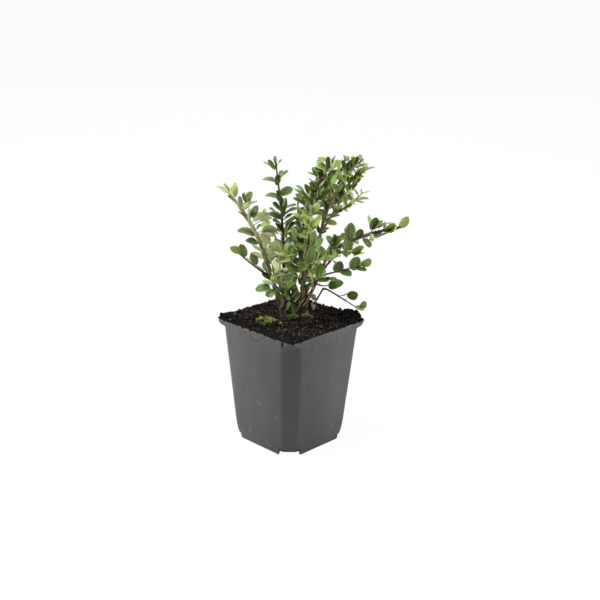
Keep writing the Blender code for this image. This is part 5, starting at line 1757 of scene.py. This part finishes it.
@dataclass
class LeafShape:
    """The blade: broad and round with a small point, a closed shell of a few dozen faces."""

    half_width: float = 0.405
    thick: float = 0.26
    rows: tuple[float, ...] = (0.04, 0.16, 0.36, 0.58, 0.79, 0.94)
    across: tuple[float, ...] = (-1.0, -0.55, 0.0, 0.55, 1.0, 0.55, 0.0, -0.55)

    def width(self, along: Array) -> Array:
        """Half the width as a share of the length: u^0.5 (1-u)^0.56, brought to its widest."""
        return self.half_width * along ** 0.5 * (1 - along) ** 0.56 / 0.4790

    def points(self, leaves: list[Leaf], rng: np.random.Generator) -> tuple[Array, Array]:
        """The points of many blades.

        The middle line turns down evenly by the arch: it runs length sin(arch u) / arch along the
        aim and length (1 - cos(arch u)) / arch down. Across it, the blade rises by cup |v|^1.6 times
        its half width, and waves a little. The lower sheet lies under the upper by the thickness.

        Args:
            leaves: what to build.
            rng: random numbers.

        Returns:
            Points (leaves, points, 3) in metres, and their places on the blade.
        """
        count = len(leaves)
        root = np.array([leaf.root for leaf in leaves])[:, None, None]
        aim = np.array([leaf.aim for leaf in leaves])[:, None, None]
        face = np.array([leaf.face for leaf in leaves])[:, None, None]
        length = np.array([leaf.length for leaf in leaves])[:, None, None]
        arch = np.array([leaf.arch for leaf in leaves])[:, None, None]
        arch = np.where(np.abs(arch) < 0.02, 0.02, arch)
        side = np.cross(aim, face)
        u = np.array(self.rows)[None, :, None]
        v = np.array(self.across)[None, None, :]
        free = np.array([0.3 if leaf.seen else 1.0 for leaf in leaves])[:, None, None]
        stretch = 1 + rng.uniform(-0.10, 0.10, (count, 1, 1)) * free
        skew = rng.normal(0, 0.05, (count, 1, 1))
        half = self.width(u) * length * stretch * (1 + skew * np.sign(v))
        cup = rng.normal(0.20, 0.16, (count, 1, 1)) * (0.2 + 0.8 * free) * np.abs(v) ** 1.6
        wave = rng.uniform(-0.10, 0.10, (count, 1, 1)) * np.sin(6 * u + rng.uniform(0, 6, (count, 1, 1)))
        twist = rng.normal(0, 0.22, (count, 1, 1)) * u * free
        sheet = np.where(np.arange(8) > 4, -1.0, 0.0)
        bend = arch * u
        out = length * np.sin(bend) / arch
        down = length * (1 - np.cos(bend)) / arch
        rise = half * (cup + wave * v) + sheet * self.thick * MM + v * half * np.sin(twist)
        wide = v * half * np.cos(twist)
        normal = face * np.cos(bend)[..., None] + aim * np.sin(bend)[..., None]
        middle = root + aim * out[..., None] - face * down[..., None]
        grid = middle + side * wide[..., None] + normal * rise[..., None]
        grid[:, :, [0, 4]] -= normal * (0.5 * self.thick * MM)
        foot = root[:, 0] - face[:, 0] * (0.5 * self.thick * MM)
        tip = (root + aim * (length * np.sin(arch) / arch * 1.02)[..., None]
               - face * (length * (1 - np.cos(arch)) / arch)[..., None])[:, 0]
        points = np.concatenate([grid.reshape(count, -1, 3), foot, tip], axis=1)
        grain = np.zeros((len(self.rows), 8, 3))
        grain[..., 0] = u[0]
        grain[..., 1] = v[0]
        ends = np.array([[0, 0, 0], [1, 0, 0]])
        return points, np.concatenate([grain.reshape(-1, 3), ends])[None]

    def faces(self) -> list[tuple[Array, int]]:
        """One blade's faces: the upper sheet has material 0, the lower material 1."""
        rings = grid_faces(len(self.rows), 8).reshape(-1, 8, 4)
        low, high = pole_faces(len(self.rows), 8)
        upper = np.concatenate([low[:4], high[:4]])
        lower = np.concatenate([low[4:], high[4:]])
        return [(rings[:, :4].reshape(-1, 4), 0), (rings[:, 4:].reshape(-1, 4), 1),
                (upper, 0), (lower, 1)]

    def crease(self) -> Array:
        """Which points are on the blade's margin."""
        ring = np.isin(np.arange(8), [0, 4])
        return np.concatenate([np.tile(ring, len(self.rows)), [True, True]])


class Room:
    """The space that stems and leaves take up, as points, and the test that a new leaf is clear."""

    clear = 1.6
    spared = 2

    def __init__(self) -> None:
        """Start empty."""
        self.blades = np.empty((4000, 12, 3))
        self.middles = np.empty((4000, 3))
        self.count = 0
        self.sticks: list[Array] = []
        self.owners: list[Array] = []
        self.shown = np.empty((0, 2))
        self.depths = np.empty(0)
        self.sky = np.array(SKY)

    @staticmethod
    def spots(root: Array, aim: Array, face: Array, length: float, arch: float) -> Array:
        """Twelve points spread over a blade."""
        side = np.cross(aim, face)
        u = np.array([0.22, 0.45, 0.70, 0.94])[:, None]
        half = np.array([0.30, 0.38, 0.30, 0.10])[:, None]
        v = np.array([-1.0, 0.0, 1.0])
        middle = root + aim * (length * u) - face * (length * arch * u * u / 2)
        across = (half * v)[..., None] * side * length
        return (middle[:, None] + across).reshape(12, 3)

    def add_stick(self, stem: Stem, number: int) -> None:
        """Remember a stem by points every 1.5 mm along it."""
        shares = np.linspace(0, 1, max(2, int(stem.curve.length / (1.5 * MM))))
        self.sticks.append(stem.path(shares))
        self.owners.append(np.full(len(shares), number))

    def freeze(self) -> None:
        """Gather the sticks into one array."""
        self.stick_points = np.concatenate(self.sticks)
        self.stick_owners = np.concatenate(self.owners)

    def is_clear(self, spots: Array, owner: int, gap: float) -> bool:
        """Whether a blade keeps a gap to other blades, and to stems other than its own."""
        middle = spots[4]
        if self.count:
            away = self.middles[:self.count] - middle
            close = np.einsum("ij,ij->i", away, away) < (15 * MM) ** 2
            if close.any():
                others = self.blades[:self.count][close].reshape(-1, 3)
                offset = others[None] - spots[:, None]
                if np.einsum("ijk,ijk->ij", offset, offset).min() < gap * gap:
                    return False
        away = self.stick_points - middle
        close = (np.einsum("ij,ij->i", away, away) < (9 * MM) ** 2) & (self.stick_owners != owner)
        if close.any():
            offset = self.stick_points[close][None] - spots[:, None]
            if np.einsum("ijk,ijk->ij", offset, offset).min() < (1.3 * MM) ** 2:
                return False
        return True

    def show(self) -> None:
        """Keep the picture places and depths of the blades so far: the photograph shows them."""
        self.shown, self.depths = VIEW.picture_places(self.blades[:self.count].reshape(-1, 3))

    def hides(self, spots: Array) -> bool:
        """Whether a blade would stand before one that the photograph shows, or before its sky."""
        places, depths = VIEW.picture_places(spots)
        offset = self.shown[None] - places[:, None]
        close = np.einsum("ijk,ijk->ij", offset, offset) < self.clear ** 2
        close &= self.depths[None] > depths[:, None] - 1 * MM
        if int(close.any(axis=0).sum()) > self.spared:
            return True
        offset = self.sky[None, :, :2] - places[:, None]
        return bool((np.einsum("ijk,ijk->ij", offset, offset) < self.sky[:, 2] ** 2).any())

    def is_open(self, stem: Stem) -> bool:
        """Whether a twig keeps clear of the blades, and stands in front of none of them."""
        points = stem.curve.point(np.linspace(0.35, 1, 8))
        offset = self.blades[:self.count].reshape(-1, 3)[None] - points[:, None]
        near = np.einsum("ijk,ijk->ij", offset, offset).min() < (1.2 * MM) ** 2
        return not near and not self.hides(points)

    def add_blade(self, spots: Array) -> None:
        """Remember a blade."""
        self.blades[self.count] = spots
        self.middles[self.count] = spots[4]
        self.count += 1


@dataclass
class Plant:
    """The plant above the compost, in millimetres: limbs, shoots, twigs, spurs and leaves."""

    twig_every: float = 10.5
    twig_length: tuple[float, float] = (11.0, 18.0)
    twig_lean: float = math.radians(50)
    twig_shorten: float = 0.45
    last_twig: float = 8.0
    spur_length: tuple[float, float] = (4.5, 8.0)
    first_leaf: float = 3.6
    petiole: float = 1.5
    longest_stalk: float = 4.0
    front_bonus: float = 0.15
    blade_gap: float = 0.95
    tries: int = 20

    def __post_init__(self) -> None:
        """Start with nothing grown."""
        self.room = Room()
        self.limbs: dict[str, Stem] = {}
        self.stems: list[Stem] = []
        self.leaves: list[Leaf] = []

    def grow_limbs(self) -> None:
        """Lay out the stems and boughs."""
        for limb in LIMBS:
            tip = plant(*limb.tip)
            bow = plant(*limb.bow)
            if limb.foot:
                foot = plant(*limb.foot) - np.array([0, 0, 1.2 * MM])
                curve = Bow(foot, tip, bow)
                stem = Stem(curve, limb.radius * MM, limb.tip_radius * MM, limb.bark, 26, flare=0.45,
                            age=0.1)
            else:
                parent = self.limbs[limb.parent]
                thickness = float(parent.plain_radius(limb.share))
                curve = leave(parent.curve, thickness, limb.share, tip, bow, limb.radius * MM)
                root = parent.curve.point(max(0.0, limb.share - 0.06))
                stem = Stem(curve, limb.radius * MM, limb.tip_radius * MM, limb.bark, 14, root,
                            age=0.15)
            self.limbs[limb.name] = stem
            self.room.add_stick(stem, len(self.limbs))

    def spoke(self, stance: Stance, heading: Array, turn: float) -> Array:
        """The direction square to a heading at a turn from the rank in the stance's own plane."""
        rank = unit(np.cross(heading, plant(*stance.facing)))
        return rank * math.cos(turn) + np.cross(heading, rank) * math.sin(turn)

    def first_turn(self, rng: random.Random, step: float, stance: Stance, curve: Bow) -> float:
        """Where leaves or twigs round a stem begin: on its upper side where they have no step."""
        if step:
            return rng.choice((0.0, math.pi))
        return 0.0 if self.spoke(stance, curve.heading(0.5), 0)[2] > 0 else math.pi

    def twig(self, rng: random.Random, stance: Stance, parent: Stem, share: float, turn: float,
             reach: float, lean: float) -> Stem:
        """A twig off a stem: it leans off at an angle and bows up a little."""
        heading = parent.curve.heading(share)
        outward = self.spoke(stance, heading, turn + rng.uniform(-0.3, 0.3))
        aim = outward * math.sin(lean) + heading * math.cos(lean)
        foot = parent.curve.point(share)
        curve = Bow(foot, foot + aim * reach * MM, np.array([0, 0, 0.04 * reach * MM]))
        radius = min(0.62 * MM, 0.8 * float(parent.plain_radius(share)))
        return Stem(curve, radius, 0.34 * MM, parent.bark, 6, parent=parent,
                    away=share * parent.curve.length)

    def plan_stems(self) -> list[tuple[Shoot, Stem, int]]:
        """Place every shoot's stem before any twig or leaf, so that all of them keep clear of it."""
        planned = []
        for shoot in SHOOTS:
            parent = self.limbs[shoot.limb]
            thickness = float(parent.plain_radius(shoot.share))
            radius = shoot.radius * MM
            curve = leave(parent.curve, thickness, shoot.share, plant(*shoot.tip), plant(*shoot.bow),
                          radius)
            root = parent.curve.point(max(0.0, shoot.share - 0.03))
            stem = Stem(curve, radius * 1.1, radius * 0.6, shoot.bark, 9, root, age=0.9)
            self.stems.append(stem)
            number = 100 + len(planned)
            self.room.add_stick(stem, number)
            planned.append((shoot, stem, number))
        return planned

    def branch(self, planned: list[tuple[Shoot, Stem, int]]) -> list[tuple[Shoot, Stem, int, float]]:
        """Grow twigs off the stems and spurs off the twigs, each turned on from the last.

        Args:
            planned: shoots with their stems.

        Returns:
            Shoots with every stem, twig and spur, its number and its leaves' size.
        """
        bearing = []
        number = 1000
        for seed, (shoot, stem, own_number) in enumerate(planned):
            rng = random.Random(100 + seed)
            stance = shoot.habit.value
            bearing.append((shoot, stem, own_number, 1.0))
            length = stem.curve.length / MM
            every = self.twig_every / max(1.0, shoot.twigs)
            away = every * 0.6
            turn = self.first_turn(rng, stance.twig_step, stance, stem.curve)
            while away < length - self.last_twig:
                share = away / length
                wanted = rng.random() < shoot.twigs
                for attempt in range(5):
                    reach = rng.uniform(*self.twig_length) * (1 - self.twig_shorten * share)
                    twig = self.twig(rng, stance, stem, share, turn + attempt, reach, self.twig_lean)
                    if self.room.is_open(twig):
                        break
                if wanted and self.room.is_open(twig):
                    number += 1
                    self.room.add_stick(twig, number)
                    self.stems.append(twig)
                    bearing.append((shoot, twig, number, 0.94))
                    if reach > 10:
                        size = rng.uniform(*self.spur_length)
                        side = rng.choice((0.0, math.pi))
                        spur = self.twig(rng, stance, twig, 0.45, side, size, self.twig_lean)
                        if self.room.is_open(spur):
                            number += 1
                            self.room.add_stick(spur, number)
                            self.stems.append(spur)
                            bearing.append((shoot, spur, number, 0.82))
                turn += stance.twig_step
                away += every * rng.uniform(0.8, 1.2)
        return bearing

    def trim(self) -> None:
        """Cut each stem off just past its last leaf or twig, and leave out those that bear none."""
        kept = []
        for stem in reversed(self.stems):
            if stem.joints:
                end = max(stem.joints) + 1.2 * MM
                if end < stem.curve.length:
                    stem.curve = stem.curve.cut(end / stem.curve.length)
                if stem.parent:
                    stem.parent.joints.append(stem.away)
                kept.append(stem)
        self.stems = kept[::-1]

    def try_leaf(self, shoot: Shoot, stem: Stem, number: int, share: float, aim: Array, face: Array,
                 length: float, arch: float, youth: float, gap: float) -> bool:
        """Add a leaf to the crown if it keeps clear of everything but the stem that bears it."""
        spot = stem.curve.point(share)
        root = spot + aim * (self.petiole * MM + float(stem.plain_radius(share)) * 0.5)
        spots = self.room.spots(root, aim, face, length, arch)
        if not self.room.is_clear(spots, number, gap) or self.room.hides(spots):
            return False
        self.room.add_blade(spots)
        self.leaves.append(Leaf(spot, root, aim, face, length, arch, youth, shoot.tone))
        return True

    def hang(self, rng: random.Random, shoot: Shoot, stems: list[Stem], row: tuple[float, ...]
             ) -> None:
        """Hang a leaf that the photograph shows on the stem nearest to it.

        The blade begins on its foot's sight line, beside the point of a stem that is nearest to
        that line, or about as near and further in front. It ends on its tip's sight line. It may be a quarter longer than it looks, and
        then leans to the camera. With a along the blade, e to the camera but square to a, and
        f = a x e, its upper side looks along +-e w +- f (1 - w^2)^0.5, where w is the share of
        its width that is seen: up its stem.

        Args:
            rng: random numbers.
            shoot: the shoot that the leaf belongs to.
            stems: the stems that may carry it.
            row: its foot, its tip, how broad it looks and its arch, as in SEEN.
        """
        eye = VIEW.place()
        first = VIEW.sight(row[0], row[1])
        second = VIEW.sight(row[2], row[3])
        shares = np.linspace(0.03, 1, 70)
        best = (9.0, stems[0], 0.0, eye)
        for stem in stems:
            points = stem.path(shares)
            beside = eye + ((points - eye) @ first)[:, None] * first
            away = np.linalg.norm(points - beside, axis=1)
            away += self.front_bonus * ((points - eye) @ first)
            nearest = int(np.argmin(away))
            if away[nearest] < best[0]:
                best = (float(away[nearest]), stem, float(shares[nearest]), beside[nearest])
        stem, share, root = best[1:]
        heading = stem.curve.heading(share)
        root = root - first * (0.7 * float(stem.plain_radius(share)))
        offset = root - eye
        along = float(offset @ second)
        seen = math.sqrt(max(0.0, float(offset @ offset) - along * along))
        length = max(seen, min(shoot.leaf * MM, 1.25 * seen))
        tip = eye + second * (along - math.sqrt(length * length - seen * seen))
        aim = unit(tip - root)
        near = unit(aim * float(first @ aim) - first)
        upper = row[4] > 0
        point_size = VIEW.sensor / VIEW.lens / VIEW.picture * along
        share_seen = min(0.98, 1.12 * abs(row[4]) * point_size / (0.81 * length))
        slant = np.cross(aim, near) * math.sqrt(1 - share_seen * share_seen)
        if slant @ (heading + np.array([0, 0, 0.7])) < 0:
            slant = -slant
        face = near * (share_seen if upper else -share_seen) + slant
        half = row[5] / 2
        length *= half / math.sin(half)
        aim, face = (aim * math.cos(half) + face * math.sin(half),
                     face * math.cos(half) - aim * math.sin(half))
        youth = max(0.7 * max(0.0, share - 0.7) / 0.3 + rng.uniform(0, 0.2),
                    shoot.youth * rng.uniform(0.4, 1.4))
        youth = row[6] if len(row) > 6 else youth if upper else 1.0
        self.room.add_blade(self.room.spots(root, aim, face, length, row[5]))
        spot = stem.curve.point(share)
        stalk = root - spot
        stem.joints.append(share * stem.curve.length)
        reach = float(np.linalg.norm(stalk))
        if reach > self.longest_stalk * MM:
            bow = (heading - stalk * float(heading @ stalk) / reach ** 2) * (-0.08 * reach)
            bow *= 1 if stalk @ heading > 0 else -1
            end = root - unit(unit(stalk) + aim) * (self.petiole * MM)
            twig = Stem(Bow(spot, end, bow), 0.42 * MM, 0.32 * MM, stem.bark, 6)
            twig.joints.append(twig.curve.length)
            self.stems.append(twig)
            self.room.add_stick(twig, 900)
            spot = end
        self.leaves.append(Leaf(spot, root, aim, face, length, row[5], youth, shoot.tone, True))

    def leaf_along(self, rng: random.Random, shoot: Shoot, stem: Stem, number: int, scale: float
                   ) -> None:
        """Leaves along a stem, each turned on from the last by the stance's step, and a tuft at its tip.

        Args:
            rng: random numbers.
            shoot: whose leaves they are.
            stem: what bears them.
            number: the stem's number in the room.
            scale: the leaves' size against the shoot's.
        """
        stance = shoot.habit.value
        length = stem.curve.length / MM
        away = self.first_leaf
        turn = self.first_turn(rng, stance.step, stance, stem.curve)
        while away < length - 1.5:
            share = away / length
            young = max(0.0, share - 0.70) / 0.30
            size = shoot.leaf * scale * (1 - 0.28 * young)
            heading = stem.curve.heading(share)
            wander = rng.uniform(-stance.wander, stance.wander)
            back = rng.random() < shoot.backs
            for attempt in range(self.tries):
                play = 0.2 * (1 + attempt)
                if back:
                    outward = unit(self.near_side(heading) + self.spoke(stance, heading, turn) * 0.8
                                   + np.array([rng.uniform(-play, play) for _ in range(3)]))
                    outward = unit(outward - heading * float(outward @ heading))
                    spread = math.radians(38) + rng.uniform(-0.2, 0.2)
                else:
                    outward = self.spoke(stance, heading, turn + wander + rng.uniform(-play, play))
                    spread = stance.spread + rng.uniform(-0.22, 0.22)
                blade = size * rng.uniform(0.84, 1.10) * (1 - 0.03 * attempt) * MM
                aim = unit(outward * math.sin(spread) + heading * math.cos(spread))
                own = heading * math.sin(spread) - outward * math.cos(spread)
                tilt = np.array([rng.uniform(-0.25, 0.25) for _ in range(3)])
                if back:
                    face = own + tilt * 0.6
                else:
                    face = own * stance.own + plant(*stance.facing) / MM + tilt
                face = unit(face - aim * float(face @ aim))
                arch = stance.arch * rng.uniform(0.5, 1.5)
                youth = max(young * rng.uniform(0.6, 1.2), shoot.youth * rng.uniform(0.4, 1.4))
                youth = min(1.0, youth + rng.uniform(0, 0.16) + 0.7 * back)
                if self.try_leaf(shoot, stem, number, share, aim, face, blade, arch, youth,
                                 self.blade_gap * MM):
                    stem.joints.append(away * MM)
                    break
            away += shoot.spacing * rng.uniform(0.85, 1.15)
            turn += stance.step
        self.tip_tuft(rng, shoot, stem, number, scale)

    def near_side(self, heading: Array) -> Array:
        """The direction square to a heading that looks most to the near side."""
        near = plant(0, 1, 0) / MM
        return unit(near - heading * float(near @ heading))

    def tip_tuft(self, rng: random.Random, shoot: Shoot, stem: Stem, number: int, scale: float
                 ) -> None:
        """Three small young leaves that fold round the tip's bud."""
        stance = shoot.habit.value
        heading = stem.curve.heading(1.0)
        start = rng.uniform(0, math.pi)
        for step in range(3):
            outward = self.spoke(stance, heading, start + step * 2.2)
            spread = math.radians(24 + 8 * step)
            aim = unit(outward * math.sin(spread) + heading * math.cos(spread))
            own = heading * math.sin(spread) - outward * math.cos(spread)
            face = unit(own - aim * float(own @ aim))
            size = shoot.leaf * scale * (0.50 + 0.12 * step) * MM
            share = 1.0 - 0.5 * step * MM / stem.curve.length
            self.try_leaf(shoot, stem, number, share, aim, face, size, 0.35, 0.75 + 0.1 * step,
                          0.75 * MM)

    def grow(self) -> None:
        """Grow the whole plant."""
        self.grow_limbs()
        planned = self.plan_stems()
        stems = [stem for shoot, stem, number in planned] + list(self.limbs.values())
        for seed, (shoot, stem, number) in enumerate(planned):
            rng = random.Random(500 + seed)
            for row in SEEN.get(shoot.name, ()):
                self.hang(rng, shoot, stems, row)
        self.room.show()
        bearing = self.branch(planned)
        self.room.freeze()
        for seed, (shoot, stem, number, scale) in enumerate(bearing):
            if shoot.spacing:
                self.leaf_along(random.Random(1000 + seed), shoot, stem, number, scale)
        self.trim()
        LOG.info("grown: %d stems, %d leaves", len(self.stems), len(self.leaves))

    def build_wood(self) -> None:
        """Make the bark pieces: the two stems, the boughs and the shoots by their bark."""
        finishes = {bark: finish.material() for bark, finish in BARKS.items()}
        for name in ("trunk", "left_stem"):
            stock = Stock()
            self.limbs[name].build(stock, 3)
            stock.piece(name + "_bark", [finishes[Bark.OLD]], (name,))
        for bark in (Bark.TAN, Bark.DARK):
            boughs = Stock()
            replaced = []
            for seed, limb in enumerate(LIMBS):
                if limb.bark is bark:
                    self.limbs[limb.name].build(boughs, 20 + 7 * seed)
                    replaced.append(limb.name)
            boughs.piece("boughs_" + bark.name.lower(), [finishes[bark]], tuple(replaced))
            shoots = Stock()
            for seed, stem in enumerate(self.stems):
                if stem.bark is bark:
                    stem.build(shoots, 200 + 7 * seed)
            shoots.piece("shoots_" + bark.name.lower(), [finishes[bark]])

    def build_leaves(self) -> None:
        """Make the leaves, a piece for each tone, with their stalks."""
        veins = vein_group()
        underside = UndersideFinish().material(veins)
        stalk = BarkFinish("leaf_stalk", (0.160, 0.075, 0.035), (0.200, 0.130, 0.050),
                           (0.240, 0.270, 0.090), 0.05).material()
        shape = LeafShape()
        rng = np.random.default_rng(5)
        for tone in Tone:
            leaves = [leaf for leaf in self.leaves if leaf.tone is tone]
            stock = Stock()
            count = len(leaves)
            points, grain = shape.points(leaves, rng)
            youth = np.array([leaf.youth for leaf in leaves])
            tint = rng.uniform(0, 1, count) * np.where(youth > 0, 1, 0.8)
            mark = np.column_stack([tint, youth, rng.uniform(0, 1, count)])
            stock.add(points, shape.faces(), grain, mark[:, None], shape.crease())
            foot = np.array([leaf.twig for leaf in leaves])
            root = np.array([leaf.root for leaf in leaves])
            face = np.array([leaf.face for leaf in leaves])
            aim = np.array([leaf.aim for leaf in leaves])
            end = root + aim * (0.5 * MM) - face * (0.12 * MM)
            paths = np.stack([foot, (foot + end) / 2 - face * (0.15 * MM), end], axis=1)
            radii = np.array([0.30, 0.24, 0.20]) * MM * np.ones((count, 1))
            points, grain = sweep(paths, radii, 4)
            stock.add(points, sweep_faces(3, 4, 2), grain, mark[:, None])
            replaced = tuple(shoot.name for shoot in SHOOTS if shoot.tone is tone)
            finish = LEAVES[tone].material(veins)
            stock.piece("leaves_" + tone.name.lower(), [finish, underside, stalk], replaced)

    def build(self) -> None:
        """Grow the plant and make its pieces."""
        self.grow()
        self.build_wood()
        self.build_leaves()


@dataclass(frozen=True)
class Softbox:
    """A square soft light: its place, size in metres and power in watts."""

    name: str
    place: tuple[float, float, float]
    size: float
    power: float


@dataclass(frozen=True)
class Studio:
    """Camera, lights, floor and sky of a plain white studio."""

    sky: float = 0.22
    floor_half: float = 30.0
    aim_height: float = 0.12

    def camera(self) -> bpy.types.Object:
        """Stand the camera at the photograph's angle.

        Returns:
            The camera object.
        """
        data = bpy.data.cameras.new("camera")
        data.lens = VIEW.lens
        data.sensor_width = VIEW.sensor
        data.clip_end = 200
        camera = bpy.data.objects.new("camera", data)
        bpy.context.scene.collection.objects.link(camera)
        turn = Matrix(VIEW.axes().tolist()).transposed().to_4x4()
        camera.matrix_world = Matrix.Translation(VIEW.place().tolist()) @ turn
        bpy.context.scene.camera = camera
        return camera

    def light(self, softbox: Softbox) -> None:
        """Hang a softbox that looks at the plant's middle.

        Args:
            softbox: the light, with its place in the plant's frame in metres.
        """
        lamp = bpy.data.lights.new(softbox.name, "AREA")
        lamp.energy = softbox.power
        lamp.size = softbox.size
        item = bpy.data.objects.new(softbox.name, lamp)
        place = Vector(plant(*softbox.place) / MM)
        place.z = softbox.place[2]
        item.location = place
        item.rotation_euler = (place - Vector((0, 0, self.aim_height))).to_track_quat("Z", "Y").to_euler()
        bpy.context.scene.collection.objects.link(item)

    def floor(self) -> None:
        """Lay a wide floor of white paper, which the camera sees almost without shade."""
        mesh = bpy.data.meshes.new("studio_floor")
        half = self.floor_half
        corners = [(-half, -half, 0), (half, -half, 0), (half, half, 0), (-half, half, 0)]
        mesh.from_pydata(corners, [], [(0, 1, 2, 3)])
        floor = bpy.data.objects.new("studio_floor", mesh)
        bpy.context.scene.collection.objects.link(floor)
        material, graph, shader = new_material("studio_paper")
        graph.feed(shader.inputs["Base Color"], (0.62, 0.62, 0.62))
        graph.feed(shader.inputs["Roughness"], 0.9)
        graph.feed(shader.inputs["Specular IOR Level"], 0.0)
        seen = graph.node("LightPath").outputs["Is Camera Ray"]
        glow = graph.node("Emission", {"Color": (1, 1, 1), "Strength": 1.0})
        share = graph.math("MULTIPLY", seen, 0.96)
        mixed = graph.node("MixShader", {0: share, 1: shader.outputs[0], 2: glow.outputs[0]})
        output = graph.tree.nodes["Material Output"]
        graph.feed(output.inputs["Surface"], mixed.outputs[0])
        mesh.materials.append(material)

    def build(self) -> None:
        """Make the camera, the soft light and the pale floor."""
        bpy.context.scene.view_settings.view_transform = "Standard"
        self.camera()
        world = bpy.data.worlds.new("studio_sky")
        world.use_nodes = True
        world.node_tree.nodes["Background"].inputs["Color"].default_value = (1, 1, 1, 1)
        world.node_tree.nodes["Background"].inputs["Strength"].default_value = self.sky
        bpy.context.scene.world = world
        for softbox in SOFTBOXES:
            self.light(softbox)
        self.floor()


SOFTBOXES = (
    Softbox("left_softbox", (-1.35, -0.08, 0.80), 1.1, 35.0),
    Softbox("right_softbox", (1.35, -0.08, 0.75), 1.1, 29.0),
    Softbox("top_softbox", (-0.20, 0.20, 1.5), 0.9, 26.0),
    Softbox("rear_softbox", (0.0, -1.8, 0.9), 1.6, 12.0),
)


def main() -> None:
    """Dress the part and set up the studio."""
    NurseryPot().build()
    LOG.info("pot built")
    Compost().build()
    moss = MossFinish("moss_bright", (0.018, 0.028, 0.005), (0.400, 0.450, 0.110)).material()
    dull = MossFinish("moss_dull", (0.010, 0.018, 0.004), (0.380, 0.420, 0.190)).material()
    MossCushion("moss_bright", -18.8, 17.0, 10.6, 5.8, 5.8, 54, 2.1, -0.4).build(moss, 1)
    MossCushion("moss_middle", 1.5, 6.0, 5.4, 3.6, 5.2, 70, 1.1).build(dull, 2)
    MossCushion("moss_right", 13.0, 3.5, 5.2, 3.4, 5.0, 70, 1.1).build(dull, 3)
    LOG.info("compost and moss built")
    Plant().build()
    Studio().build()
    LOG.info("studio built")


if __name__ == "__main__":
    logging.basicConfig(level=logging.INFO)
    main()
